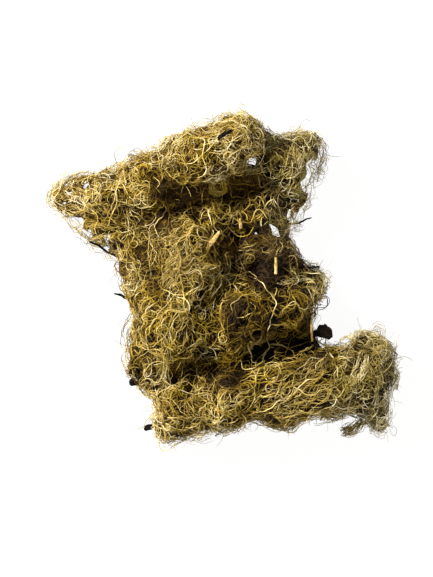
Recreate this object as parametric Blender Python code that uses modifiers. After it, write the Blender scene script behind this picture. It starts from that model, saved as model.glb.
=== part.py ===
"""Lichen tangle grown on a broken twig, lying flat as it was picked.

The frame is in metres with +Z up. The tangle rests on the plane z = 0, with the origin under the middle
of its box. X runs along the tangle's widest way and Y along its length, from the foot to the crest.
Lengths in the tables are millimetres in plan, and MM turns them into metres.
"""

import math

import bmesh
import bpy
from mathutils import Matrix, Vector
from mathutils.bvhtree import BVHTree

MM = 0.001
GAP = 0.3  # clearance between pieces that lie against each other
VOXEL = 3.8  # grain of the skin over the clumps
SETTLE = 0.6  # how far a clump sags: its middle stands at this share of its own half height
PRISM_TOP = 70.0  # higher than any tuft

# Clumps of strands: middle x, y, half length, half width, turn in degrees, height over the table.
CLUMPS = {
    "crest": [
        (3.5, 46.5, 12.5, 11.2, 20, 40),
        (-9.0, 41.0, 16.0, 12.0, 20, 42),
        (-25.0, 33.5, 14.0, 12.0, 20, 37),
    ],
    "arm_end": [
        (-38.5, 28.5, 15.0, 11.2, 8, 29),
        (-51.5, 29.6, 11.2, 7.4, 12, 21),
        (-35.0, 19.5, 13.0, 8.6, -24, 27),
        (-43.6, 15.8, 9.5, 4.6, -36, 15),
    ],
    "upper_right": [
        (23.0, 41.8, 14.2, 9.6, 28, 29),
        (22.6, 31.0, 10.0, 9.0, 60, 25),
    ],
    "shoulder": [
        (11.0, 22.5, 15.0, 9.0, -8, 24),
        (-6.5, 22.0, 13.0, 8.5, 0, 25),
    ],
    "nest": [
        (-12.0, 8.0, 14.5, 15.5, 0, 38),
        (-14.5, -5.0, 12.0, 10.0, 0, 37),
    ],
    "waist": [
        (-29.5, 7.0, 9.0, 13.0, 0, 27),
        (-25.0, -4.0, 8.5, 10.0, 0, 28),
    ],
    "brown": [
        (15.0, 8.5, 12.5, 10.0, 0, 23),
    ],
    "right_side": [
        (31.4, -1.6, 6.2, 6.0, 0, 20),
    ],
    "belly": [
        (9.0, -9.5, 18.0, 12.5, 0, 33),
        (20.5, -7.5, 12.5, 11.5, 0, 27),
        (2.0, -17.0, 14.0, 11.0, 0, 32),
        (20.0, -21.5, 14.0, 8.0, 12, 14),
    ],
    "left_side": [
        (-19.2, -17.0, 13.8, 15.5, 0, 38),
        (-25.5, -28.0, 10.0, 10.0, 0, 30),
    ],
    "heel": [
        (-11.5, -45.0, 14.5, 10.5, 0, 30),
        (-17.5, -51.0, 8.0, 6.4, 15, 22),
        (3.0, -41.5, 12.5, 11.0, 0, 32),
        (-5.5, -29.5, 9.0, 7.5, 0, 19),
    ],
    "foot": [
        (22.0, -39.5, 18.0, 12.6, 3, 30),
        (36.5, -36.6, 11.5, 13.2, 0, 29),
    ],
    "toe": [
        (50.2, -33.0, 11.0, 15.2, -8, 27),
        (54.8, -47.0, 5.4, 8.0, 0, 16),
    ],
}

# Where the tufts part in plan. Points beyond the tangle's edge are named for the side that they lie on.
SEAM = {
    "far_left_low": (-68, 17),
    "far_left_high": (-68, 60),
    "top_arm": (-26, 66),
    "top_notch": (14, 66),
    "top_right": (45, 66),
    "right_high": (45, 23),
    "right_waist": (45, 14),
    "right_brown": (45, 6),
    "right_low": (45, -12),
    "gap_right": (45, -15),
    "toe_high": (72, -10),
    "toe_low": (72, -66),
    "foot_low": (41, -66),
    "heel_low": (9, -66),
    "heel_left": (-48, -66),
    "left_low": (-48, -37),
    "left_waist": (-48, -11),
    "left_arm": (-48, 6.5),
    "arm_crest": (-27, 29.5),
    "notch": (14.2, 49),
    "notch_foot": (11.4, 39),
    "cleft_right": (13.5, 33),
    "cleft": (3, 29.5),
    "cleft_middle": (-9.5, 27.5),
    "cleft_left": (-19.5, 28),
    "arm_waist": (-25, 20.5),
    "arm_low": (-34, 10.5),
    "ledge": (-3, 20.5),
    "ledge_right": (3, 15.5),
    "ledge_far": (26.5, 15.0),
    "right_edge_high": (27, 21.5),
    "nest_right": (1, 6),
    "nest_belly": (4.5, -3.5),
    "nest_low": (-3.5, -10.5),
    "nest_left_low": (-16.5, -11),
    "waist_low": (-25.5, -7.5),
    "waist_nest": (-27, 6),
    "waist_left_low": (-31, -11),
    "brown_belly": (16.5, -1),
    "side_high": (25, 5),
    "side_low": (27, -4.5),
    "side_foot": (33, -9),
    "belly_left": (-13, -17.5),
    "belly_low_left": (-9.5, -24.5),
    "twig_left": (-31.5, -36.4),
    "twig_a": (-20.5, -35),
    "twig_b": (-9.5, -32.9),
    "twig_c": (-3, -29.4),
    "twig_d": (6, -26.3),
    "twig_e": (18, -25.2),
    "twig_f": (28.5, -21.7),
    "twig_right": (34.5, -18.2),
    "toe_top": (40, -22.7),
    "toe_middle": (38.7, -36.8),
}

TERRITORIES = {
    "crest": "top_arm arm_crest cleft_left cleft_middle cleft cleft_right notch_foot notch top_notch",
    "arm_end": "far_left_high far_left_low left_arm arm_low arm_waist cleft_left arm_crest top_arm",
    "upper_right": "top_notch notch notch_foot cleft_right right_edge_high right_high top_right",
    "shoulder": (
        "cleft_right cleft cleft_middle ledge ledge_right ledge_far right_waist right_high "
        "right_edge_high"
    ),
    "nest": (
        "cleft_middle cleft_left arm_waist waist_nest waist_low nest_left_low nest_low nest_belly nest_right "
        "ledge_right ledge"
    ),
    "waist": "left_arm left_waist waist_left_low waist_low waist_nest arm_waist arm_low",
    "brown": "ledge_right nest_right nest_belly brown_belly side_high right_brown right_waist ledge_far",
    "right_side": "right_brown side_high side_low side_foot right_low",
    "belly": (
        "brown_belly nest_belly nest_low nest_left_low belly_left belly_low_left twig_c twig_d twig_e twig_f "
        "twig_right gap_right right_low side_foot side_low side_high"
    ),
    "left_side": (
        "left_waist left_low twig_left twig_a twig_b twig_c belly_low_left belly_left nest_left_low "
        "waist_low waist_left_low"
    ),
    "heel": "left_low heel_left heel_low twig_d twig_c twig_b twig_a twig_left",
    "foot": "twig_d heel_low foot_low toe_middle toe_top gap_right twig_right twig_f twig_e",
    "toe": "gap_right toe_top toe_middle foot_low toe_low toe_high",
}

# The twig and its fork: x, y, z and radius along each.
TWIG = [
    (-31.5, -34.5, 10.5, 1.1),
    (-26.0, -34.8, 10.0, 1.3),
    (-20.5, -34.4, 9.5, 1.4),
    (-14.5, -33.6, 9.0, 1.3),
    (-9.0, -32.2, 8.8, 1.4),
    (-3.0, -29.2, 8.6, 1.4),
    (3.0, -27.0, 8.4, 1.3),
    (10.0, -25.8, 8.4, 1.4),
    (18.0, -25.0, 8.8, 1.3),
    (25.0, -22.9, 9.6, 1.4),
    (30.5, -20.2, 11.2, 1.5),
    (35.0, -17.8, 12.4, 1.3),
]
TWIG_FORK = [
    (-25.5, -37.0, 12.0, 1.1),
    (-28.5, -36.6, 13.5, 1.0),
    (-31.0, -36.2, 14.5, 0.9),
    (-32.2, -35.9, 15.0, 1.5),
    (-33.0, -35.7, 15.3, 1.0),
]
# Twiglets that stick out of the sides: x, y, z and radius along each.
TWIGLETS = {
    "left_twiglet": [
        (-38.6, -4.9, 13.0, 0.3),
        (-36.4, -5.2, 13.2, 0.5),
        (-34.6, -6.3, 13.2, 0.6),
        (-29.0, -6.8, 13.0, 0.7),
        (-24.0, -7.4, 12.6, 0.6),
    ],
    "lower_arm_twiglet": [
        (-47.5, 13.4, 11.0, 0.35),
        (-44.0, 12.2, 11.0, 0.5),
        (-41.5, 10.0, 10.8, 0.45),
        (-37.0, 8.0, 10.5, 0.5),
        (-33.0, 5.5, 10.5, 0.4),
    ],
    "arm_needle": [
        (-47.6, 18.0, 16.2, 0.2),
        (-42.0, 17.2, 14.5, 0.3),
        (-36.0, 16.6, 13.5, 0.3),
    ],
    "kinked_twiglet": [
        (20.5, 19.4, 13.0, 0.4),
        (26.6, 20.0, 13.5, 0.4),
        (28.8, 21.2, 14.0, 0.35),
        (31.0, 21.9, 14.5, 0.2),
    ],
    "right_twiglet": [
        (25.5, 3.8, 14.0, 0.5),
        (29.0, 4.3, 14.6, 0.5),
        (33.8, 4.6, 15.0, 0.35),
    ],
}
# Pieces that lie in the tangle's upper side: x, y, height over the tuft's skin, radius along each.
LAID_STICKS = {
    "ledge_stick": [(5.6, 21.2, 1.2, 0.45), (5.9, 19.5, 1.3, 0.6), (5.9, 18.0, 1.2, 0.55)],
    "brown_tuft_stick": [(18.1, 7.9, 1.8, 0.45), (18.2, 5.0, 1.4, 0.6), (18.1, 1.9, 0.8, 0.5)],
}
GAP_STICK = [(30.8, -12.6, 17.5, 0.35), (30.6, -16.4, 18.6, 0.5), (31.0, -21.6, 16.6, 0.45)]

# Bark flakes and a splinter: x, y, length, width, turn, tilt in degrees, bulge, thickness, how far the
# ends narrow, lift over the tuft's skin, and a height that stands in for the skin's, or None.
FLAKES = {
    "pale_splinter": (-4.2, 13.0, 10.0, 1.6, 52, 4, 0.3, 0.7, 0.7, 1.2, None),
    "crest_bark_flake": (0.4, 50.0, 6.6, 1.7, 36, 14, 0.4, 0.7, 0.4, 0.5, None),
    "twig_end_bark": (35.4, -18.2, 7.6, 5.2, -16, 10, 0.9, 0.8, 0.1, 0.0, 15.6),
    "side_bark_flake": (-28.6, -31.0, 4.4, 8.2, 6, 16, 1.4, 0.9, 0.25, 0.0, 19.5),
    "heel_crumb": (-26.6, -52.3, 3.6, 1.9, 14, 0, 0.4, 0.9, 0.25, 0.0, 5.0),
}
PALE_PIECES = ("pale_splinter", "ledge_stick", "brown_tuft_stick", "gap_stick")

FINISHES = {
    "golden_lichen": ((0.42, 0.31, 0.085, 1), 0.85),
    "grey_lichen": ((0.32, 0.26, 0.12, 1), 0.88),
    "brown_lichen": ((0.16, 0.09, 0.03, 1), 0.9),
    "dark_bark": ((0.035, 0.02, 0.012, 1), 0.8),
    "pale_wood": ((0.62, 0.48, 0.22, 1), 0.7),
}
TUFT_FINISH = {
    "upper_right": "grey_lichen",
    "right_side": "grey_lichen",
    "toe": "grey_lichen",
    "brown": "brown_lichen",
}


def start_empty():
    """Clears the file and gives the collections for the parts and for the helpers that shape them."""
    for obj in list(bpy.data.objects):
        bpy.data.objects.remove(obj)
    parts = bpy.data.collections.new("lichen_on_twig")
    helpers = bpy.data.collections.new("cutters")
    for collection in (parts, helpers):
        bpy.context.scene.collection.children.link(collection)
    return parts, helpers


def make_materials():
    """One Principled material for each finish."""
    made = {}
    for name, (color, roughness) in FINISHES.items():
        material = bpy.data.materials.new(name)
        material.use_nodes = True
        shader = material.node_tree.nodes["Principled BSDF"]
        shader.inputs["Base Color"].default_value = color
        shader.inputs["Roughness"].default_value = roughness
        shader.inputs["Metallic"].default_value = 0.0
        made[name] = material
    return made


def add_object(name, mesh, collection, material=None):
    """Links a mesh as an object, dressed or as a wire helper that isn't rendered."""
    obj = bpy.data.objects.new(name, mesh)
    collection.objects.link(obj)
    if material:
        mesh.materials.clear()
        mesh.materials.append(material)
    else:
        obj.hide_render = True
        obj.display_type = "WIRE"
    return obj


def evaluated_mesh(obj):
    """A plain mesh of the object as its modifiers leave it."""
    graph = bpy.context.evaluated_depsgraph_get()
    graph.update()
    return bpy.data.meshes.new_from_object(obj.evaluated_get(graph))


def clump_matrix(x, y, half_length, half_width, turn, height):
    """Turns the unit ball into one settled clump that reaches the given height."""
    half_height = height / (1 + SETTLE)
    place = Matrix.Translation(Vector((x, y, SETTLE * half_height)) * MM)
    sizes = Matrix.Diagonal((half_length * MM, half_width * MM, half_height * MM, 1))
    return place @ Matrix.Rotation(math.radians(turn), 4, "Z") @ sizes


def skin_over_clumps(helpers):
    """One closed skin over all the clumps."""
    shape = bmesh.new()
    for clumps in CLUMPS.values():
        for clump in clumps:
            bmesh.ops.create_icosphere(shape, subdivisions=3, radius=1, matrix=clump_matrix(*clump))
    mesh = bpy.data.meshes.new("clumps")
    shape.to_mesh(mesh)
    shape.free()
    balls = add_object("clumps", mesh, helpers)
    remesh = balls.modifiers.new("skin", "REMESH")
    remesh.mode = "VOXEL"
    remesh.voxel_size = VOXEL * MM
    return evaluated_mesh(balls)


def shrink_outline(points, inset):
    """The outline with each side moved inwards, for an outline that runs anticlockwise."""
    count = len(points)
    shrunk = []
    for i in range(count):
        here = Vector(points[i])
        into = (here - Vector(points[i - 1])).normalized()
        out = (Vector(points[(i + 1) % count]) - here).normalized()
        normals = (Vector((-into.y, into.x)), Vector((-out.y, out.x)))
        middle = normals[0] + normals[1]
        shrunk.append(here + middle * (inset / (middle.length_squared / 2)))
    return shrunk


def signed_area(points):
    """Twice the outline's area, above zero where it runs anticlockwise."""
    pairs = zip(points, points[1:] + points[:1])
    return sum(a[0] * b[1] - b[0] * a[1] for a, b in pairs)


def make_prism(name, corner_names, helpers):
    """The upright block over one tuft's ground plan, standing on the table."""
    points = [SEAM[corner] for corner in corner_names.split()]
    if signed_area(points) < 0:
        points.reverse()
    points = shrink_outline(points, GAP / 2)
    shape = bmesh.new()
    base = shape.faces.new([shape.verts.new((p.x * MM, p.y * MM, 0)) for p in points])
    grown = bmesh.ops.extrude_face_region(shape, geom=[base])["geom"]
    tops = [item for item in grown if isinstance(item, bmesh.types.BMVert)]
    bmesh.ops.translate(shape, verts=tops, vec=(0, 0, PRISM_TOP * MM))
    bmesh.ops.recalc_face_normals(shape, faces=shape.faces)
    mesh = bpy.data.meshes.new(name)
    shape.to_mesh(mesh)
    shape.free()
    return add_object(name, mesh, helpers)


def make_tube(name, route, helpers, grow=0.0, sides_step=1):
    """A round stick along the route, as a closed mesh. grow widens it and lengthens both ends."""
    curve = bpy.data.curves.new(name, "CURVE")
    curve.dimensions = "3D"
    curve.bevel_depth = MM
    curve.bevel_resolution = sides_step
    curve.use_fill_caps = True
    points = [Vector(row[:3]) for row in route]
    if grow:
        points[0] += (points[0] - points[1]).normalized() * grow
        points[-1] += (points[-1] - points[-2]).normalized() * grow
    spline = curve.splines.new("POLY")
    spline.points.add(len(points) - 1)
    for spot, place, row in zip(spline.points, points, route):
        spot.co = (*(place * MM), 1)
        spot.radius = row[3] + grow
    rod = add_object(name + "_curve", curve, helpers, None)
    mesh = evaluated_mesh(rod)
    bpy.data.objects.remove(rod)
    shape = bmesh.new()
    shape.from_mesh(mesh)
    bmesh.ops.remove_doubles(shape, verts=shape.verts, dist=0.00001)
    bmesh.ops.recalc_face_normals(shape, faces=shape.faces)
    shape.to_mesh(mesh)
    shape.free()
    return mesh


def height_finder(mesh):
    """A function that gives the skin's height in millimetres over a place in plan."""
    tree = BVHTree.FromPolygons([v.co for v in mesh.vertices], [p.vertices for p in mesh.polygons])

    def height(x, y):
        hit = tree.ray_cast(Vector((x * MM, y * MM, 1)), Vector((0, 0, -1)))[0]
        return hit.z / MM if hit else 0.0

    return height


def make_flake(name, size, helpers, height, grow=0.0):
    """A curled flake of bark: a bulged sheet with a ragged outline, thickened."""
    x, y, length, width, turn, tilt, bulge, thickness, narrowing, lift, level = size
    z = height(x, y) + lift if level is None else level
    shape = bmesh.new()
    bmesh.ops.create_grid(shape, x_segments=4, y_segments=3, size=0.5)
    for vert in shape.verts:
        u, v = vert.co.x * 2, vert.co.y * 2
        ragged = 1 - 0.16 * abs(v) * (1 + math.sin(5 * u + 2)) - 0.1 * math.cos(7 * v + u)
        vert.co.x = u * (length / 2 * ragged + grow)
        vert.co.y = v * (width / 2 * (1 - narrowing * u * u) + grow)
        vert.co.z = -bulge * v * v + 0.3 * bulge * math.sin(3 * u)
    turned = Matrix.Rotation(math.radians(turn), 4, "Z") @ Matrix.Rotation(math.radians(tilt), 4, "Y")
    place = Matrix.Scale(MM, 4) @ Matrix.Translation((x, y, z)) @ turned
    bmesh.ops.transform(shape, matrix=place, verts=shape.verts)
    mesh = bpy.data.meshes.new(name)
    shape.to_mesh(mesh)
    shape.free()
    sheet = add_object(name + "_sheet", mesh, helpers)
    wall = sheet.modifiers.new("thickness", "SOLIDIFY")
    wall.thickness = (thickness + 2 * grow) * MM
    wall.offset = 0
    solid = evaluated_mesh(sheet)
    bpy.data.objects.remove(sheet)
    return solid


def add_boolean(obj, other, operation, solver="EXACT"):
    """A Boolean step. Tufts take MANIFOLD: EXACT leaves open edges where thin sleeves cross the skin."""
    step = obj.modifiers.new(other.name, "BOOLEAN")
    step.operation = operation
    step.solver = solver
    step.object = other


def boxes_meet(a, b):
    """Whether the boxes round two objects overlap."""
    low_a, high_a = world_box([a])
    low_b, high_b = world_box([b])
    return all(low_a[i] < high_b[i] and low_b[i] < high_a[i] for i in range(3))


def world_box(objects):
    """The lowest and highest corner round the objects as their modifiers leave them."""
    graph = bpy.context.evaluated_depsgraph_get()
    graph.update()
    spots = []
    for obj in objects:
        done = obj.evaluated_get(graph)
        spots += [done.matrix_world @ Vector(corner) for corner in done.bound_box]
    low = Vector([min(spot[i] for spot in spots) for i in range(3)])
    high = Vector([max(spot[i] for spot in spots) for i in range(3)])
    return low, high


def make_wood(parts, helpers, materials, height):
    """The twig, its fork, twiglets, sticks and flakes, and for each a sleeve that cuts its room."""
    laid = {
        name: [(x, y, height(x, y) + lift, radius) for x, y, lift, radius in route]
        for name, route in LAID_STICKS.items()
    }
    routes = {"twig": TWIG, "twig_fork": TWIG_FORK, **TWIGLETS, **laid, "gap_stick": GAP_STICK}
    pieces, sleeves = {}, {}
    finish = {
        name: materials["pale_wood" if name in PALE_PIECES else "dark_bark"]
        for name in (*routes, *FLAKES)
    }
    for name, route in routes.items():
        pieces[name] = add_object(name, make_tube(name, route, helpers), parts, finish[name])
        sleeve = make_tube(name + "_sleeve", route, helpers, GAP + 0.1)
        sleeves[name] = add_object(name + "_sleeve", sleeve, helpers)
    for name, size in FLAKES.items():
        pieces[name] = add_object(name, make_flake(name, size, helpers, height), parts, finish[name])
        sleeve = make_flake(name + "_sleeve", size, helpers, height, 2 * GAP)
        sleeves[name] = add_object(name + "_sleeve", sleeve, helpers)
    return pieces, sleeves


def make_tufts(parts, helpers, materials, skin, sleeves):
    """Each tuft is the part of the skin over its own ground plan, less the room of the wood in it."""
    tufts = {}
    for name, corners in TERRITORIES.items():
        finish = materials[TUFT_FINISH.get(name, "golden_lichen")]
        tuft = add_object(name + "_tuft", skin.copy(), parts, finish)
        add_boolean(tuft, make_prism(name + "_ground", corners, helpers), "INTERSECT", "MANIFOLD")
        for sleeve in sleeves.values():
            if boxes_meet(tuft, sleeve):
                add_boolean(tuft, sleeve, "DIFFERENCE", "MANIFOLD")
        tufts[name] = tuft
    return tufts


def centre_over_origin(parts, helpers):
    """Moves everything so that the origin is under the middle of the box, on the table."""
    low, high = world_box(parts.objects)
    shift = Vector(((low.x + high.x) / 2, (low.y + high.y) / 2, low.z))
    for obj in list(parts.objects) + list(helpers.objects):
        obj.location -= shift


def main():
    parts, helpers = start_empty()
    materials = make_materials()
    skin = skin_over_clumps(helpers)
    pieces, sleeves = make_wood(parts, helpers, materials, height_finder(skin))
    add_boolean(pieces["twig_fork"], sleeves["twig"], "DIFFERENCE")
    add_boolean(pieces["twig_end_bark"], sleeves["twig"], "DIFFERENCE")
    add_boolean(pieces["twig_end_bark"], sleeves["gap_stick"], "DIFFERENCE")
    make_tufts(parts, helpers, materials, skin, sleeves)
    centre_over_origin(parts, helpers)


main()
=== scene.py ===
"""Looks of a beard lichen tangle grown on a broken twig: the strands of every tuft, the wood and the bark.

Lengths inside the growing code are millimetres, because strands are measured in tenths of one. Meshes are
written in metres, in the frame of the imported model.
"""

import logging
import math
from dataclasses import dataclass
from enum import Enum

import bmesh
import bpy
import numpy as np
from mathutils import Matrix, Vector
from mathutils.bvhtree import BVHTree

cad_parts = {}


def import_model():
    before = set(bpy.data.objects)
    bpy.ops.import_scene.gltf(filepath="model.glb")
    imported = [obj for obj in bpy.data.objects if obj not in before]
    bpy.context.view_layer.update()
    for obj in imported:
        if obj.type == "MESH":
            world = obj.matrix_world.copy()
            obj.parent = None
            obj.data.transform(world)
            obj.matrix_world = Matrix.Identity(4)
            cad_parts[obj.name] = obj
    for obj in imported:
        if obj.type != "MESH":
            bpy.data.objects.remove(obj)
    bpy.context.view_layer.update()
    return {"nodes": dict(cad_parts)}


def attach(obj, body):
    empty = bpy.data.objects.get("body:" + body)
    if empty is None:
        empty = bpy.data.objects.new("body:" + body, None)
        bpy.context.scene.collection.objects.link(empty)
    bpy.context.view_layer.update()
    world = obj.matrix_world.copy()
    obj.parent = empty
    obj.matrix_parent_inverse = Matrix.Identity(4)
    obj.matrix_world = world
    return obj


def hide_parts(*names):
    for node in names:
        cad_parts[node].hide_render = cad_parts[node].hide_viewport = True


LOG = logging.getLogger("lichen")
MM = 0.001
BODY = "root"
UV_NAME = "OFBake"
TONE = "tone"


# ---------------------------------------------------------------- finishes


def linear(hex_color: str) -> tuple[float, float, float, float]:
    """Turns an sRGB hex colour into linear RGBA.

    Args:
        hex_color: Six hex digits after a hash.

    Returns:
        The linear colour with full alpha.
    """
    parts = [int(hex_color[i : i + 2], 16) / 255 for i in (1, 3, 5)]
    values = [p / 12.92 if p <= 0.04045 else ((p + 0.055) / 1.055) ** 2.4 for p in parts]
    return (values[0], values[1], values[2], 1.0)


def add_node(
    material: bpy.types.Material, kind: str, settings: dict | None = None, links: dict | None = None
) -> bpy.types.Node:
    """Adds one shader node with its settings and its incoming links.

    Args:
        material: The material that gets the node.
        kind: The node's Blender type name.
        settings: Attribute names, or input names, and their values.
        links: Input names and the output sockets that feed them.

    Returns:
        The new node.
    """
    node = material.node_tree.nodes.new(kind)
    for name, value in (settings or {}).items():
        if name in node.inputs:
            node.inputs[name].default_value = value
        else:
            setattr(node, name, value)
    for name, source in (links or {}).items():
        material.node_tree.links.new(source, node.inputs[name])
    return node


def set_ramp(node: bpy.types.Node, stops: list[tuple[float, str]]) -> None:
    """Sets a colour ramp's stops.

    Args:
        node: The colour ramp.
        stops: Each stop's place and hex colour, in order.
    """
    ramp = node.color_ramp
    while len(ramp.elements) < len(stops):
        ramp.elements.new(1.0)
    for element, (place, color) in zip(ramp.elements, stops):
        element.position = place
        element.color = linear(color)


@dataclass(frozen=True)
class LichenFinish:
    """Dry beard lichen: matt, slightly waxy strands, from dark old parts to pale straw tips. The dark end of
    its ramp also carries the strands' painted shade.

    The eye sees wiry strands that catch a little light along one side, never a gloss.
    """

    name: str
    stops: tuple[tuple[float, str], ...]
    roughness: float = 0.62
    specular: float = 0.25

    def make(self) -> bpy.types.Material:
        """Builds the material.

        Returns:
            The material, which reads each strand's own tone.
        """
        material = bpy.data.materials.new(self.name)
        material.use_nodes = True
        shader = material.node_tree.nodes["Principled BSDF"]
        shader.inputs["Roughness"].default_value = self.roughness
        shader.inputs["Specular IOR Level"].default_value = self.specular
        tone = add_node(material, "ShaderNodeAttribute", {"attribute_name": TONE})
        place = add_node(material, "ShaderNodeTexCoord")
        # Soredia and dust mottle a strand every 0.7 mm or so.
        dust = add_node(
            material,
            "ShaderNodeTexNoise",
            {"Scale": 1 / (0.7 * MM), "Detail": 2.0},
            {"Vector": place.outputs["Object"]},
        )
        mottled = add_node(
            material,
            "ShaderNodeMath",
            {"operation": "MULTIPLY_ADD", "use_clamp": True},
        )
        material.node_tree.links.new(dust.outputs["Fac"], mottled.inputs[0])
        mottled.inputs[1].default_value = 0.22
        shifted = add_node(material, "ShaderNodeMath", {"operation": "SUBTRACT"})
        material.node_tree.links.new(tone.outputs["Fac"], shifted.inputs[0])
        shifted.inputs[1].default_value = 0.11
        material.node_tree.links.new(shifted.outputs[0], mottled.inputs[2])
        ramp = add_node(material, "ShaderNodeValToRGB", links={"Fac": mottled.outputs[0]})
        set_ramp(ramp, list(self.stops))
        # Whole bunches some 14 mm across are greyer or more golden than the next.
        bunch = add_node(
            material,
            "ShaderNodeTexNoise",
            {"Scale": 1 / (14 * MM), "Detail": 1.0},
            {"Vector": place.outputs["Object"]},
        )
        fade = add_node(
            material,
            "ShaderNodeMapRange",
            {"From Min": 0.35, "From Max": 0.65, "To Min": 0.92, "To Max": 1.05},
            {"Value": bunch.outputs["Fac"]},
        )
        faded = add_node(
            material,
            "ShaderNodeHueSaturation",
            links={"Color": ramp.outputs["Color"], "Saturation": fade.outputs["Result"]},
        )
        material.node_tree.links.new(faded.outputs["Color"], shader.inputs["Base Color"])
        return material


@dataclass(frozen=True)
class FeltFinish:
    """The matted strands deep in a tuft, too fine to tell apart: curly lines on dark felt, whose darkness is
    partly painted shade of the tangle's depths.
    """

    name: str
    stops: tuple[tuple[float, str], ...]
    curl_mm: float = 2.0
    layers: int = 3

    def make(self) -> bpy.types.Material:
        """Builds the material.

        Returns:
            The material. Its lines are the contours of a few soft noises, which close on themselves as
            curls do.
        """
        material = bpy.data.materials.new(self.name)
        material.use_nodes = True
        link = material.node_tree.links.new
        shader = material.node_tree.nodes["Principled BSDF"]
        shader.inputs["Roughness"].default_value = 0.8
        shader.inputs["Specular IOR Level"].default_value = 0.2
        place = add_node(material, "ShaderNodeTexCoord")
        tone = add_node(material, "ShaderNodeAttribute", {"attribute_name": TONE})
        lines = None
        for layer in range(self.layers):
            moved = add_node(
                material,
                "ShaderNodeMapping",
                {"Location": (0.013 * layer, 0.029 * layer, 0.041 * layer)},
                {"Vector": place.outputs["Object"]},
            )
            swirl = add_node(
                material,
                "ShaderNodeTexNoise",
                {"Scale": (1 + 0.45 * layer) / (self.curl_mm * MM), "Detail": 1.0, "Distortion": 0.6},
                {"Vector": moved.outputs["Vector"]},
            )
            centred = add_node(material, "ShaderNodeMath", {"operation": "SUBTRACT"})
            link(swirl.outputs["Fac"], centred.inputs[0])
            centred.inputs[1].default_value = 0.5
            away = add_node(material, "ShaderNodeMath", {"operation": "ABSOLUTE"})
            link(centred.outputs[0], away.inputs[0])
            ridge = add_node(
                material,
                "ShaderNodeMapRange",
                {"From Min": 0.05, "From Max": 0.0, "To Max": 1.0 - 0.22 * layer},
            )
            link(away.outputs[0], ridge.inputs["Value"])
            if lines is None:
                lines = ridge.outputs[0]
            else:
                top = add_node(material, "ShaderNodeMath", {"operation": "MAXIMUM"})
                link(lines, top.inputs[0])
                link(ridge.outputs[0], top.inputs[1])
                lines = top.outputs[0]
        contrast = add_node(material, "ShaderNodeMath", {"operation": "MULTIPLY_ADD"})
        link(lines, contrast.inputs[0])
        contrast.inputs[1].default_value = 1.7
        contrast.inputs[2].default_value = 0.35
        lit = add_node(material, "ShaderNodeMath", {"operation": "MULTIPLY", "use_clamp": True})
        link(contrast.outputs[0], lit.inputs[0])
        link(tone.outputs["Fac"], lit.inputs[1])
        ramp = add_node(material, "ShaderNodeValToRGB", links={"Fac": lit.outputs[0]})
        set_ramp(ramp, list(self.stops))
        bump = add_node(
            material, "ShaderNodeBump", {"Strength": 0.9, "Distance": 0.5 * MM}, {"Height": lines}
        )
        link(ramp.outputs["Color"], shader.inputs["Base Color"])
        link(bump.outputs["Normal"], shader.inputs["Normal"])
        return material


@dataclass(frozen=True)
class WoodFinish:
    """Weathered bark or split wood: rough, matt, with cracks or grain from its own surface."""

    name: str
    stops: tuple[tuple[float, str], ...]
    grain_mm: float
    stretch: tuple[float, float, float] = (1.0, 1.0, 1.0)
    roughness: float = 0.85
    bump_mm: float = 0.15

    def make(self) -> bpy.types.Material:
        """Builds the material.

        Returns:
            The material, patterned on the piece's own coordinates.
        """
        material = bpy.data.materials.new(self.name)
        material.use_nodes = True
        shader = material.node_tree.nodes["Principled BSDF"]
        shader.inputs["Roughness"].default_value = self.roughness
        shader.inputs["Specular IOR Level"].default_value = 0.12
        place = add_node(material, "ShaderNodeTexCoord")
        along = add_node(
            material, "ShaderNodeMapping", {"Scale": self.stretch}, {"Vector": place.outputs["Object"]}
        )
        grain = add_node(
            material,
            "ShaderNodeTexNoise",
            {"Scale": 1 / (self.grain_mm * MM), "Detail": 6.0, "Roughness": 0.65},
            {"Vector": along.outputs["Vector"]},
        )
        ramp = add_node(material, "ShaderNodeValToRGB", links={"Fac": grain.outputs["Fac"]})
        set_ramp(ramp, list(self.stops))
        bump = add_node(
            material,
            "ShaderNodeBump",
            {"Strength": 0.6, "Distance": self.bump_mm * MM},
            {"Height": grain.outputs["Fac"]},
        )
        material.node_tree.links.new(ramp.outputs["Color"], shader.inputs["Base Color"])
        material.node_tree.links.new(bump.outputs["Normal"], shader.inputs["Normal"])
        return material


GOLDEN = LichenFinish(
    "dry_golden_beard_lichen",
    (
        (0.0, "#080300"),
        (0.2, "#342203"),
        (0.42, "#7a620c"),
        (0.66, "#b39a42"),
        (0.86, "#d2c07e"),
        (1.0, "#e2d8b0"),
    ),
)
GREY = LichenFinish(
    "dry_grey_beard_lichen",
    (
        (0.0, "#0a0501"),
        (0.2, "#342709"),
        (0.42, "#746426"),
        (0.66, "#a8985a"),
        (0.86, "#cbc08e"),
        (1.0, "#ded6b6"),
    ),
)
BROWN = LichenFinish(
    "fine_brown_lichen_fuzz",
    ((0.0, "#0a0400"), (0.25, "#2a1b04"), (0.5, "#56400f"), (0.75, "#887030"), (1.0, "#beab68")),
    roughness=0.75,
)
FELTS = {
    GOLDEN.name: FeltFinish(
        "golden_felt", (
            (0.0, "#080300"), (0.2, "#342203"), (0.42, "#76580c"), (0.66, "#a88836"), (0.9, "#ceb678")
        )
    ),
    GREY.name: FeltFinish(
        "grey_felt", (
            (0.0, "#0a0502"), (0.2, "#34260d"), (0.42, "#74602c"), (0.66, "#a8935a"), (0.9, "#d2c190")
        )
    ),
    BROWN.name: FeltFinish(
        "brown_felt", ((0.0, "#080300"), (0.2, "#281702"), (0.5, "#573a08"), (0.9, "#8f6c28")), curl_mm=1.5
    ),
}
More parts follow.
